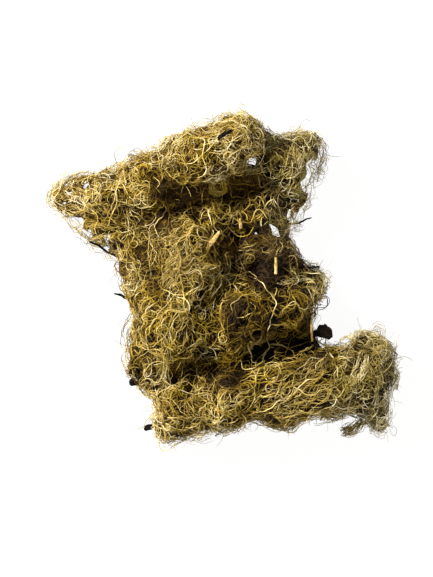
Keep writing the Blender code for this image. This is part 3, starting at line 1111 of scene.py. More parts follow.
TRACKS: dict[str, tuple[Track, ...]] = {
    "crest_tuft": (
        Track(
            ((-33.6, 46.6), (-36.3, 45.7), (-37.4, 43.3), (-36.5, 40.1), (-34.2, 37.2)), 0.3, 0.6, level=24
        ),
        Track(((-19.3, 37.4), (-16.3, 33.9), (-14.9, 33.1), (-12.5, 33.3), (-10.5, 35.0)), 0.44, 0.95),
        Track(((-11.8, 33.7), (-9.3, 31.0), (-7.6, 28.2)), 0.3, 0.6),
        Track(((-8.5, 54.6), (-4.0, 55.9), (1.0, 56.2), (6.0, 57.4)), 0.2, 0.7, 4, 0.5, level=22),
        Track(((-21.0, 49.0), (-17.0, 51.5), (-12.5, 52.0), (-9.0, 53.6)), 0.2, 0.7, 3, 0.6, level=22),
        Track(((-7.0, 51.0), (-2.0, 50.4), (1.6, 51.6), (5.0, 53.4)), 0.24, 0.85, 3, 0.5),
        Track(((-4.1, 29.2), (-2.4, 26.5), (-0.9, 24.3), (1.7, 22.6), (4.4, 21.0), (6.1, 19.5)), 0.5, 0.85),
        Track(((-8.3, 29.2), (-6.6, 27.8), (-4.8, 27.8), (-4.1, 29.3)), 0.4, 0.7),
        Track(((1.2, 36.2), (5.2, 38.7), (8.7, 41.5), (9.6, 42.7)), 0.2, 0.7, 8, 0.8),
        Track(((-0.6, 35.2), (3.9, 37.4), (9.6, 39.7)), 0.2, 0.62, 10, 0.7),
        Track(ring(-1.7, 32.4, 1.9, 30, 900), 0.3, 0.8, 6, 0.5, 1.4),
        Track(ring(-19.0, 40.6, 2.6, 120, 330), 0.24, 0.85, 2, 0.3),
        Track(ring(-12.2, 44.5, 2.0, 20, 350), 0.24, 0.85, 2, 0.3),
        Track(((7.6, 46.0), (9.6, 43.4), (13.4, 40.6)), 0.2, 0.9, 9, 0.8),
        Track(((7.0, 41.0), (10.4, 42.6), (14.6, 44.8)), 0.18, 0.8, 7, 0.9),
    ),
    "arm_end_tuft": (
        Track(((-34.2, 37.2), (-33.6, 32.5), (-32.4, 29.0)), 0.42, 0.9),
        Track(((-32.1, 31.3), (-26.1, 32.5), (-25.7, 28.7)), 0.3, 0.92, 6, 0.5),
        Track(((-23.7, 35.4), (-21.9, 32.7), (-22.9, 31.3), (-20.9, 29.6)), 0.4, 0.85),
        Track(
            (
                (-23.1, 23.7),
                (-21.0, 26.1),
                (-19.9, 24.9),
                (-20.8, 22.0),
                (-23.1, 19.1),
                (-23.4, 17.0),
                (-22.2, 14.4),
            ),
            0.5,
            1.0,
            lift=0.9,
        ),
        Track(
            ((-57.0, 25.0), (-60.5, 28.4), (-57.5, 33.0), (-50.0, 37.4), (-42.0, 39.6)),
            0.24,
            0.6,
            9,
            0.7,
            level=10,
        ),
        Track(((-58.4, 26.2), (-52.0, 24.4), (-46.0, 25.0), (-40.0, 24.0)), 0.24, 0.7, 8, 1.0),
        Track(((-59.0, 30.0), (-54.0, 31.5), (-47.0, 31.0), (-40.0, 32.5)), 0.2, 0.6, 7, 1.2),
        Track(
            ((-56.0, 22.0), (-50.5, 17.6), (-47.5, 14.2), (-41.0, 9.6), (-36.0, 6.6)),
            0.22,
            0.6,
            8,
            0.8,
            level=9,
        ),
        Track(((-48.0, 18.8), (-42.0, 19.2), (-35.0, 18.4)), 0.22, 0.75, 9, 0.6),
        Track(((-47.0, 14.8), (-41.0, 14.9), (-34.0, 15.6)), 0.22, 0.7, 8, 0.6),
    ),
    "upper_right_tuft": (
        Track(
            (
                (13.8, 45.7),
                (17.5, 48.8),
                (22.7, 50.3),
                (28.0, 50.2),
                (33.2, 48.5),
                (36.2, 46.2),
                (36.2, 42.2),
            ),
            0.18,
            0.6,
            30,
            0.9,
            level=14,
        ),
        Track(((36.2, 45.0), (35.9, 42.2), (34.1, 38.7), (33.2, 35.2)), 0.18, 0.7, 16, 0.7, level=12),
        Track(((24.0, 47.5), (27.0, 42.0), (27.0, 36.0), (25.6, 29.0)), 0.18, 0.75, 22, 1.5),
        Track(((14.0, 34.8), (17.5, 34.5), (21.4, 35.2), (24.0, 37.0)), 0.4, 0.8),
        Track(((12.4, 36.2), (13.8, 32.0), (16.2, 33.5), (18.4, 35.7), (20.5, 38.0)), 0.42, 0.9),
        Track(ring(19.2, 39.2, 2.4, 40, 900, 1.15), 0.26, 0.7, 5, 0.5),
        Track(((24.9, 47.9), (25.7, 49.0), (27.5, 49.5), (28.9, 48.5), (30.2, 46.7)), 0.3, 0.95, lift=1.0),
        Track(((24.5, 27.8), (27.1, 29.5), (30.6, 28.7)), 0.24, 0.7, 4, 0.5, level=10),
        Track(((14.0, 33.0), (19.0, 31.6), (25.0, 31.0), (31.0, 30.0)), 0.2, 0.6, 12, 1.4),
        Track(((14.0, 25.0), (20.0, 20.0), (27.0, 15.0)), 0.16, 0.6, 22, 2.2, level=12),
        Track(((15.0, 15.0), (21.5, 19.0), (26.5, 24.5)), 0.16, 0.5, 18, 2.0, level=12),
        Track(((27.5, 44.0), (31.5, 40.0), (34.5, 34.0)), 0.16, 0.7, 20, 1.8, level=12),
    ),
    "shoulder_tuft": (
        Track(((9.6, 19.9), (11.1, 22.6), (12.9, 24.5), (14.4, 23.4), (15.7, 21.0)), 0.56, 0.85, lift=0.8),
        Track(((6.5, 24.0), (7.6, 23.0), (8.7, 20.5)), 0.4, 0.75, lift=0.8),
        Track(((2.2, 18.7), (3.5, 16.4), (6.1, 14.9), (8.7, 15.8), (11.1, 17.7)), 0.4, 0.75, lift=0.8),
        Track(((8.9, 28.0), (8.9, 30.4), (10.9, 30.6)), 0.44, 0.8, lift=0.8),
        Track(((8.9, 27.8), (10.9, 27.5), (12.2, 28.5), (14.0, 28.0), (14.9, 25.7)), 0.44, 0.8, lift=0.8),
        Track(ring(5.0, 30.0, 2.6, 160, 300, 0.55), 0.4, 0.65, lift=0.8),
        Track(((2.6, 23.4), (2.4, 25.7), (3.9, 27.5)), 0.42, 0.7, lift=0.8),
        Track(((-6.1, 20.6), (-2.0, 20.0), (1.0, 18.9), (3.0, 19.9)), 0.36, 0.75),
        Track(((-5.8, 19.5), (-3.0, 17.6), (0.0, 16.0), (2.0, 18.2)), 0.36, 0.7),
    ),
    "nest_tuft": (
        Track(ring(-11.4, -3.7, 3.5, 200, -215), 0.34, 0.82, 2, 0.25),
        Track(ring(-11.4, -3.7, 5.2, 190, -200), 0.24, 0.78, 6, 0.4),
        Track(ring(-11.6, -3.4, 6.9, 185, -180), 0.2, 0.7, 9, 0.6),
        Track(ring(-11.8, -3.0, 8.6, 165, -150), 0.2, 0.68, 9, 0.7),
        Track(ring(-14.6, -5.2, 3.6, 100, 330, 1.2), 0.32, 0.85, 2, 0.3),
        Track(ring(-14.9, -9.8, 1.9, 0, 700), 0.3, 0.9, 2, 0.2),
        Track(((-15.2, 13.4), (-15.6, 9.4), (-16.6, 5.4), (-18.9, 0.8), (-20.6, -2.6)), 0.2, 0.92, 26, 1.1),
        Track(((-12.0, 12.6), (-11.0, 8.8), (-7.0, 7.4), (-4.4, 9.0)), 0.2, 0.75, 14, 1.3),
        Track(((-18.0, 7.0), (-12.5, 5.6), (-7.0, 4.0), (-2.0, 3.4)), 0.2, 0.66, 14, 1.3),
    ),
    "waist_tuft": (
        Track(((-29.0, 17.0), (-26.0, 12.0), (-25.5, 6.0), (-27.5, 0.0)), 0.3, 0.88, 3, 0.9),
        Track(((-33.0, 9.0), (-30.0, 5.0), (-29.5, -1.0), (-31.0, -5.0)), 0.3, 0.85, 3, 0.9),
    ),
    "brown_tuft": (
        Track(((7.0, 2.7), (9.6, 2.3), (12.4, -0.2)), 0.4, 0.95),
        Track(((6.0, 12.4), (12.0, 13.4), (19.0, 13.0), (24.0, 9.6)), 0.14, 0.5, 20, 1.6),
    ),
    "right_side_tuft": (
        Track(
            ((18.4, -1.1), (21.0, -1.3), (25.4, -0.2), (29.7, 0.0), (31.9, -1.1), (32.6, -3.7)),
            0.34,
            0.92,
            5,
            0.45,
            0.8,
        ),
        Track(((23.6, 4.0), (25.4, 2.4), (26.2, -0.2), (24.9, -2.0)), 0.5, 0.95, lift=0.8),
        Track(((23.2, 8.3), (24.9, 7.9), (26.2, 5.5), (27.1, 2.9)), 0.46, 0.85, lift=0.6),
        Track(
            (
                (29.7, -9.0),
                (31.5, -7.2),
                (34.1, -7.4),
                (35.4, -6.8),
                (36.9, -6.3),
                (37.4, -8.1),
                (36.9, -9.6),
                (34.1, -10.3),
                (30.6, -11.4),
            ),
            0.5,
            0.06,
            2,
            0.15,
            level=8,
        ),
        Track(((32.4, -4.6), (33.2, -8.1), (35.0, -9.0), (34.1, -7.2)), 0.4, 0.08, 2, 0.2, level=8),
        Track(((31.0, -6.0), (32.4, -10.6), (31.2, -13.6)), 0.36, 0.12, 2, 0.3, level=8),
    ),
    "belly_tuft": (
        Track(
            (
                (11.0, 0.6),
                (12.4, -0.2),
                (14.8, -3.0),
                (17.2, -5.4),
                (18.3, -8.9),
                (17.5, -12.4),
                (16.0, -15.9),
                (15.7, -20.0),
                (16.2, -23.5),
                (14.1, -27.0),
            ),
            0.5,
            1.0,
            lift=0.8,
        ),
        Track(
            ((15.9, -22.6), (21.1, -23.5), (25.9, -25.0), (29.9, -24.7), (34.1, -21.8), (36.9, -18.7)),
            0.46,
            1.0,
            lift=1.0,
        ),
        Track(ring(6.7, -9.5, 3.3, 60, 330), 0.4, 0.85, lift=0.7),
        Track(ring(24.5, -11.8, 3.0, 150, -280, 0.95), 0.42, 0.95, lift=0.7),
        Track(((16.2, -15.9), (20.0, -15.4), (24.0, -17.0), (26.8, -14.5)), 0.34, 0.85, lift=0.6),
        Track(
            ((20.5, -11.1), (22.2, -9.0), (24.5, -8.1), (26.2, -9.0), (27.3, -11.6)), 0.46, 0.95, lift=0.7
        ),
        Track(((23.6, -5.8), (26.2, -5.2), (28.4, -6.8), (29.7, -9.0)), 0.2, 0.6, 12, 0.8),
        Track(ring(12.4, -19.1, 1.8, 0, 420), 0.36, 0.7, lift=0.5),
        Track(((5.0, 2.0), (4.2, -1.6), (5.6, -4.4), (9.0, -6.0)), 0.34, 0.85, lift=0.6),
        Track(((-2.0, -13.0), (0.6, -16.8), (-0.2, -20.6), (2.4, -25.0)), 0.34, 0.85, 2, 0.5, lift=0.6),
        Track(((8.4, -16.0), (10.0, -20.4), (14.0, -23.4)), 0.3, 0.7, lift=0.6),
    ),
    "left_side_tuft": (
        Track(
            ((-29.1, -9.6), (-32.2, -12.6), (-34.9, -16.6), (-35.7, -20.1), (-34.9, -24.0)),
            0.3,
            0.4,
            4,
            0.35,
            level=11,
        ),
        Track(
            (
                (-30.5, -14.8),
                (-32.4, -17.9),
                (-32.9, -20.5),
                (-33.5, -24.5),
                (-32.9, -28.4),
                (-32.1, -30.6),
            ),
            0.24,
            0.5,
            6,
            0.5,
            level=10,
        ),
        Track(
            ((-31.8, -18.3), (-31.1, -21.8), (-31.6, -24.5), (-30.7, -26.6)), 0.24, 0.5, 4, 0.5, level=10
        ),
        Track(((-34.9, -28.4), (-34.0, -31.5), (-30.9, -32.8)), 0.2, 0.6, level=9),
        Track(
            (
                (-26.5, -21.0),
                (-28.3, -21.8),
                (-28.3, -23.6),
                (-26.1, -24.5),
                (-23.5, -24.0),
                (-20.9, -24.9),
            ),
            0.44,
            0.9,
        ),
        Track(
            ((-25.6, -18.8), (-23.9, -14.8), (-21.3, -12.2), (-18.6, -10.0), (-16.5, -7.4)),
            0.36,
            0.92,
            3,
            0.6,
        ),
        Track(((-17.8, -22.7), (-16.0, -19.6), (-14.3, -16.1), (-13.4, -13.5)), 0.46, 0.92),
        Track(((-15.1, -37.1), (-13.4, -34.5), (-11.2, -32.8)), 0.44, 0.95, lift=0.8),
        Track(((-20.0, -22.3), (-20.2, -28.8), (-20.4, -32.3), (-20.6, -38.1)), 0.2, 0.95, 34, 0.9),
        Track(((-13.4, -13.5), (-10.4, -17.8), (-7.0, -19.2), (-3.0, -18.0)), 0.36, 0.85),
    ),
    "heel_tuft": (
        Track(((-30.7, -53.4), (-28.4, -52.0), (-26.2, -49.4), (-24.4, -46.4)), 0.28, 0.6, level=8),
        Track(((-24.0, -40.0), (-19.0, -42.0), (-14.0, -46.0), (-10.0, -51.0)), 0.34, 0.9, 2, 0.6),
        Track(((-18.0, -38.0), (-12.0, -39.6), (-6.0, -38.0), (-1.0, -39.6)), 0.34, 0.9, 2, 0.6),
        Track(ring(-5.0, -46.0, 2.6, 0, 380), 0.3, 0.85, 2, 0.3),
        Track(
            ((6.1, -28.2), (7.4, -30.8), (9.6, -31.5), (11.8, -30.6), (14.0, -28.0), (15.5, -25.4)),
            0.46,
            1.0,
            lift=1.4,
        ),
        Track(((-13.0, -55.5), (-8.0, -56.6), (-3.0, -56.0)), 0.2, 0.7, 4, 0.6, level=7),
    ),
    "foot_tuft": (
        Track(
            (
                (11.6, -45.3),
                (13.1, -45.7),
                (16.2, -44.8),
                (19.2, -42.7),
                (23.6, -40.0),
                (26.7, -37.4),
                (29.7, -35.2),
                (33.2, -34.1),
            ),
            0.5,
            1.0,
            lift=0.9,
        ),
        Track(
            ((13.1, -40.7), (16.2, -40.7), (18.8, -39.4), (20.1, -37.4), (20.6, -35.7)),
            0.46,
            0.95,
            lift=0.8,
        ),
        Track(
            ((20.6, -37.0), (24.5, -37.4), (26.7, -38.7), (30.6, -40.0), (34.1, -38.7)),
            0.46,
            0.95,
            lift=0.8,
        ),
        Track(((19.2, -35.2), (22.7, -33.9), (25.8, -31.3), (30.2, -29.3)), 0.46, 0.95, lift=0.8),
        Track(((31.5, -33.0), (33.2, -30.0), (35.0, -27.8), (37.4, -25.6)), 0.4, 0.98, 3, 0.4, 0.8),
        Track(ring(17.3, -32.4, 2.6, 80, 700, 0.9), 0.34, 0.85, 3, 0.3),
        Track(ring(15.9, -37.7, 1.2, 0, 800), 0.3, 0.9, 1),
        Track(
            ((17.1, -49.9), (20.6, -49.7), (23.2, -47.5), (27.1, -46.2), (32.4, -46.6), (36.7, -46.4)),
            0.34,
            0.9,
            3,
            0.5,
            level=7,
        ),
        Track(((19.2, -50.5), (24.5, -49.0), (30.6, -48.5)), 0.28, 0.85, 4, 0.5, level=6),
        Track(((31.0, -51.6), (36.0, -50.6), (41.0, -50.9)), 0.34, 1.0, 2, 0.3, level=6),
        Track(((14.0, -43.0), (22.0, -38.4), (30.0, -32.6), (38.0, -28.0)), 0.26, 0.8, 12, 2.2),
        Track(((18.0, -46.5), (26.0, -43.0), (34.0, -40.6), (40.0, -36.0)), 0.26, 0.75, 12, 2.0),
        Track(((6.0, -35.4), (11.3, -33.6), (16.0, -33.4)), 0.4, 0.9, lift=0.9),
        Track(((42.0, -55.4), (45.5, -53.8), (48.0, -51.6), (51.5, -49.0)), 0.36, 0.72, 34, 1.0, level=7),
        Track(((42.4, -54.6), (45.0, -52.8), (46.6, -52.6)), 0.36, 0.66, 16, 1.1, level=6),
    ),
    "toe_tuft": (
        Track(
            ((41.3, -22.9), (41.6, -21.4), (42.9, -20.4), (45.1, -20.5), (47.2, -21.2), (49.4, -22.6)),
            0.3,
            0.85,
            7,
            0.35,
            level=13,
        ),
        Track(((37.2, -25.8), (38.9, -27.8), (39.8, -30.8), (39.6, -33.9)), 0.5, 0.95, lift=0.8),
        Track(((49.0, -25.4), (47.2, -28.2), (45.5, -32.1), (44.4, -34.3)), 0.3, 0.92, 6, 0.4, 0.6),
        Track(((50.7, -26.5), (49.4, -30.4), (47.7, -33.9), (47.2, -36.7)), 0.26, 0.98, 16, 0.6, 0.7),
        Track(
            (
                (53.0, -25.8),
                (55.3, -24.3),
                (57.7, -24.3),
                (59.9, -24.9),
                (61.7, -23.4),
                (62.3, -20.3),
                (62.1, -18.6),
            ),
            0.24,
            0.8,
            3,
            0.2,
            level=11,
        ),
        Track(((56.0, -21.6), (58.4, -22.8), (59.2, -25.4), (57.8, -27.6)), 0.26, 0.9, 6, 0.4, level=12),
        Track(((58.8, -31.3), (61.2, -33.0), (61.2, -35.2), (59.9, -37.3)), 0.24, 0.65, 5, 0.5, level=10),
        Track(((57.7, -37.0), (58.4, -42.2), (58.7, -47.5)), 0.24, 0.15, 2, 0.2, level=9),
        Track(((35.9, -33.0), (38.5, -32.8), (41.1, -30.3), (42.9, -28.2)), 0.42, 0.9, lift=0.7),
        Track(((35.9, -39.6), (38.5, -39.6), (39.4, -42.2), (41.1, -43.5)), 0.42, 0.9, lift=0.7),
        Track(((53.0, -18.4), (54.6, -16.6), (56.4, -18.0), (55.4, -20.4)), 0.16, 0.7, 14, 0.8, level=11),
    ),
}


def smooth_route(route: tuple[tuple[float, float], ...], step: float) -> np.ndarray:
    """A smooth line through marked points.

    Args:
        route: The points.
        step: Spacing of the line's own points in millimetres.

    Returns:
        The line's points, one a row.
    """
    marks = np.array(route)
    marks = np.concatenate([2 * marks[:1] - marks[1:2], marks, 2 * marks[-1:] - marks[-2:-1]])
    line = []
    for a, b, c, d in zip(marks, marks[1:], marks[2:], marks[3:]):
        parts = max(int(np.linalg.norm(c - b) / step), 1)
        t = np.linspace(0, 1, parts, endpoint=False)[:, None]
        line.append(
            0.5 * (
                2 * b + (c - a) * t + (2 * a - 5 * b + 4 * c - d) * t**2 + (3 * b - a - 3 * c + d) * t**3
            ),
        )
    return np.concatenate([*line, marks[-2:-1]])


# Scales the tones of all the tracks, so that they stand among the grown strands.
PALEST = 0.84
# Share of its stated width that a track's strand gets.
TRACK_THINNING = 0.86


class TrackLayer:
    """Lays the strands that have a place of their own."""

    step = 0.6
    sag = 1.5
    smoothing = 7

    def __init__(self, field: SkinField, rng: np.random.Generator) -> None:
        """Keeps the field and a source of chance."""
        self.field = field
        self.rng = rng

    def lay(self, track: Track) -> tuple[np.ndarray, np.ndarray, np.ndarray, np.ndarray]:
        """Lays one track.

        Args:
            track: What to lay.

        Returns:
            The points of each strand, how many of them count, each strand's half width and the tones.
        """
        rng = self.rng
        count = track.strands
        line = smooth_route(track.route, self.step)
        top = np.maximum(self.field.top(line, True), self.field.top(line, False) - self.sag)
        top = np.where(top > 0, top, track.level)
        reach = self.smoothing // 2
        top = np.convolve(
            np.pad(top, reach, mode="edge"), np.ones(self.smoothing) / self.smoothing, mode="valid"
        )
        along = np.gradient(line, axis=0)
        across = unit(np.stack([-along[:, 1], along[:, 0]], axis=-1))
        size = len(line)
        loose = 1.0 if count > 1 else 0.0
        place = np.arange(size)[None, :] * self.step
        wave = rng.uniform(5, 11, (count, 1))
        sway = np.sin(2 * np.pi * place / wave + rng.uniform(0, 6.3, (count, 1)))
        crinkle = np.sin(
            2 * np.pi * place / rng.uniform(2.4, 4.2, (count, 1)) + rng.uniform(0, 6.3, (count, 1))
        )
        offset = (
            loose * track.spread * rng.normal(size=(count, 1))
            + (0.3 + 0.4 * loose * track.spread) * sway
        )
        offset = offset + 0.14 * crinkle
        path = np.empty((count, size, 3))
        path[..., :2] = line + across * offset[..., None]
        path[..., 2] = top + track.lift + loose * 0.4 * rng.normal(size=(count, 1)) + 0.15 * sway
        path[..., 2] = np.maximum(path[..., 2], FLOOR_CLEARANCE)
        first = (loose * rng.uniform(0, 0.25, count) * size).astype(int)
        last = size - 1 - (loose * rng.uniform(0, 0.25, count) * size).astype(int)
        picked = np.minimum(first[:, None] + np.arange(size)[None, :], size - 1)
        path = path[np.arange(count)[:, None], picked]
        halves = TRACK_THINNING * track.width / 2 * rng.uniform(1 - 0.35 * loose, 1, count)
        tones = (
            PALEST * track.tone
            + loose * 0.12 * rng.normal(size=(count, 1))
            + 0.07 * sway
            + 0.05 * crinkle
        )
        return path, np.maximum(last - first, 2), halves, np.clip(tones, 0, 1)


# ---------------------------------------------------------------- the tufts

# Strand segments grown for each square millimetre of outer skin.
SEGMENTS_PER_MM2 = 8.3
# The short side strands, and how many each strand that grows alone carries.
BRANCHLET = Habit(0, (2.0, 7.0), (0.14, 0.24), 3.0, (0, 1), (0.45, 0.85), step=0.7, lock=1, spread=0)
BRANCHES_ON_STOUT = 4


def strands_for(
    fine: float = 1.0,
    stout: float = 0.14,
    coils: float = 0.22,
    fuzz: float = 0.4,
    deep: float = 0.28,
    over: float = 0.05,
    curl: float = 3.2,
    tone: float = 1.0,
    comb: float = 0.0,
    flow: float = 0.0,
) -> tuple[Habit, ...]:
    """The usual mixture: common wiry strands, a few stout ones on top, tight coils and fine hairs.

    Args:
        fine: Share of the common strands.
        stout: Share of the stout, pale ones, which carry branchlets.
        coils: Share of the strands that close on themselves.
        fuzz: Share of the fine hairs.
        deep: Share of the dark strands under the others.
        over: Share of the strands that span the hollows, which carry branchlets too.
        curl: Radius of the common curls in millimetres.
        tone: Scales how pale they are.
        comb: How strongly they follow the flow.
        flow: Direction of the flow in degrees.

    Returns:
        The six habits.
    """
    drift = {"comb": comb, "flow": flow}

    def pale(low: float, high: float) -> tuple[float, float]:
        """A range of tones scaled by the mixture's own."""
        return (low * tone, high * tone)

    return (
        Habit(fine, (16, 44), (0.16, 0.29), curl, (0.0, 2.4), pale(0.34, 0.94), step=0.95, **drift),
        Habit(
            stout,
            (16, 40),
            (0.28, 0.4),
            curl * 2.2,
            (-0.5, 0.6),
            pale(0.45, 0.88),
            step=1.1,
            lock=1,
            **drift,
        ),
        Habit(
            coils,
            (9, 24),
            (0.15, 0.25),
            1.9,
            (-0.2, 1.2),
            pale(0.4, 0.85),
            step=0.6,
            wander=40,
            frizz=0.05,
            lock=3,
            spread=0.5,
        ),
        Habit(
            fuzz,
            (6, 18),
            (0.12, 0.18),
            curl * 0.7,
            (-1.0, 1.0),
            pale(0.4, 0.85),
            frizz=0.3,
            lock=3,
            spread=1.4,
            **drift,
        ),
        Habit(deep, (16, 40), (0.34, 0.56), curl * 1.3, (2.0, 4.6), pale(0.2, 0.5), step=1.4, **drift),
        Habit(
            over,
            (14, 34),
            (0.22, 0.36),
            curl * 2.5,
            (-0.3, 0.8),
            pale(0.4, 0.85),
            step=1.1,
            lock=1,
            over=True,
            **drift,
        ),
    )


# Size of the felt's faces in millimetres.
FELT_GRAIN = 1.4
# Airy patches that keep no more strands than this share get holes in their felt.
SEE_THROUGH = 0.3
# Half width of the smallest hole, in millimetres, as smaller ones close in the remesh.
SMALLEST_HOLE = 2.0
# How far the felts grow into each other where tufts meet, which is this deep in the tangle, in millimetres.
SEAM_OVERLAP = 0.8
SEAM_DEPTH = -1.5
# The felt's under side stays near the floor, so that thin parts of a tuft keep some felt.
FELT_UPS = (-0.5, 0.3)
FELT_SINKING = (0.15, 1.0)
# How the tone falls with depth under the carved skin, and with depth in the whole tangle, in millimetres.
# This is painted shade of the tangle's depths, partly also the darker colour of older inner strands, with a
# little painted light on strands above the skin.
SKIN_DEPTHS = (-3.6, -1.8, -0.6, 0.4)
SKIN_TONES = (0.02, 0.17, 0.62, 1.06)
TANGLE_DEPTHS = (-10, -5, -2.2)
TANGLE_TONES = (0.01, 0.2, 1.0)
FELT_DEPTHS = (-10, -5.5, -3)
FELT_TONES = (0.0, 0.1, 1.0)
TUFTS = (
    Tuft(
        "crest_tuft",
        "golden_lichen",
        GOLDEN,
        strands_for(curl=2.6, fuzz=0.7, stout=0.08, coils=0.35, comb=0.15, flow=20, tone=1.16),
        felt_tone=0.4,
        strays=110,
    ),
    Tuft(
        "arm_end_tuft",
        "golden_lichen",
        GOLDEN,
        strands_for(curl=3.0, comb=0.3, flow=14, tone=1.1),
        felt_tone=0.38,
        strays=110,
    ),
    # Its tone scale over one is painted light: it brightens this tuft, which lies in the crest's shadow.
    Tuft(
        "upper_right_tuft",
        "grey_lichen",
        GREY,
        strands_for(curl=6.0, fuzz=1.3, stout=0.06, coils=0.08, deep=0.15, tone=1.18),
        felt_depth=3.4,
        felt_tone=0.33,
        strays=70,
    ),
    Tuft("shoulder_tuft", "golden_lichen", GOLDEN, strands_for(curl=3.6, stout=0.2), felt_tone=0.08),
    Tuft("nest_tuft", "golden_lichen", GOLDEN, strands_for(curl=3.2, fuzz=0.5), felt_tone=0.2),
    Tuft("waist_tuft", "golden_lichen", GOLDEN, strands_for(curl=2.8), felt_tone=0.28, strays=60),
    Tuft(
        "brown_tuft",
        "brown_lichen",
        BROWN,
        strands_for(curl=3.0, fuzz=2.0, stout=0.04, coils=0.1, tone=1.05),
        felt_tone=0.2,
    ),
    Tuft("right_side_tuft", "grey_lichen", GREY, strands_for(curl=2.8), felt_tone=0.22, strays=50),
    Tuft(
        "belly_tuft", "golden_lichen", GOLDEN, strands_for(curl=3.8, stout=0.2, coils=0.3), felt_tone=0.08
    ),
    Tuft(
        "left_side_tuft",
        "golden_lichen",
        GOLDEN,
        strands_for(curl=3.4, stout=0.16),
        felt_tone=0.28,
        strays=90,
    ),
    Tuft("heel_tuft", "golden_lichen", GOLDEN, strands_for(curl=3.0, tone=1.08), felt_tone=0.3, strays=110),
    Tuft(
        "foot_tuft",
        "golden_lichen",
        GOLDEN,
        strands_for(curl=7.0, stout=0.2, coils=0.14, comb=0.5, flow=28),
        felt_tone=0.14,
        strays=70,
    ),
    # Its tone scale over one is painted light on the toe's side away from the key light.
    Tuft(
        "toe_tuft",
        "grey_lichen",
        GREY,
        strands_for(curl=3.2, fuzz=1.5, coils=0.3, stout=0.06, tone=1.06),
        felt_tone=0.28,
        strays=110,
    ),
)


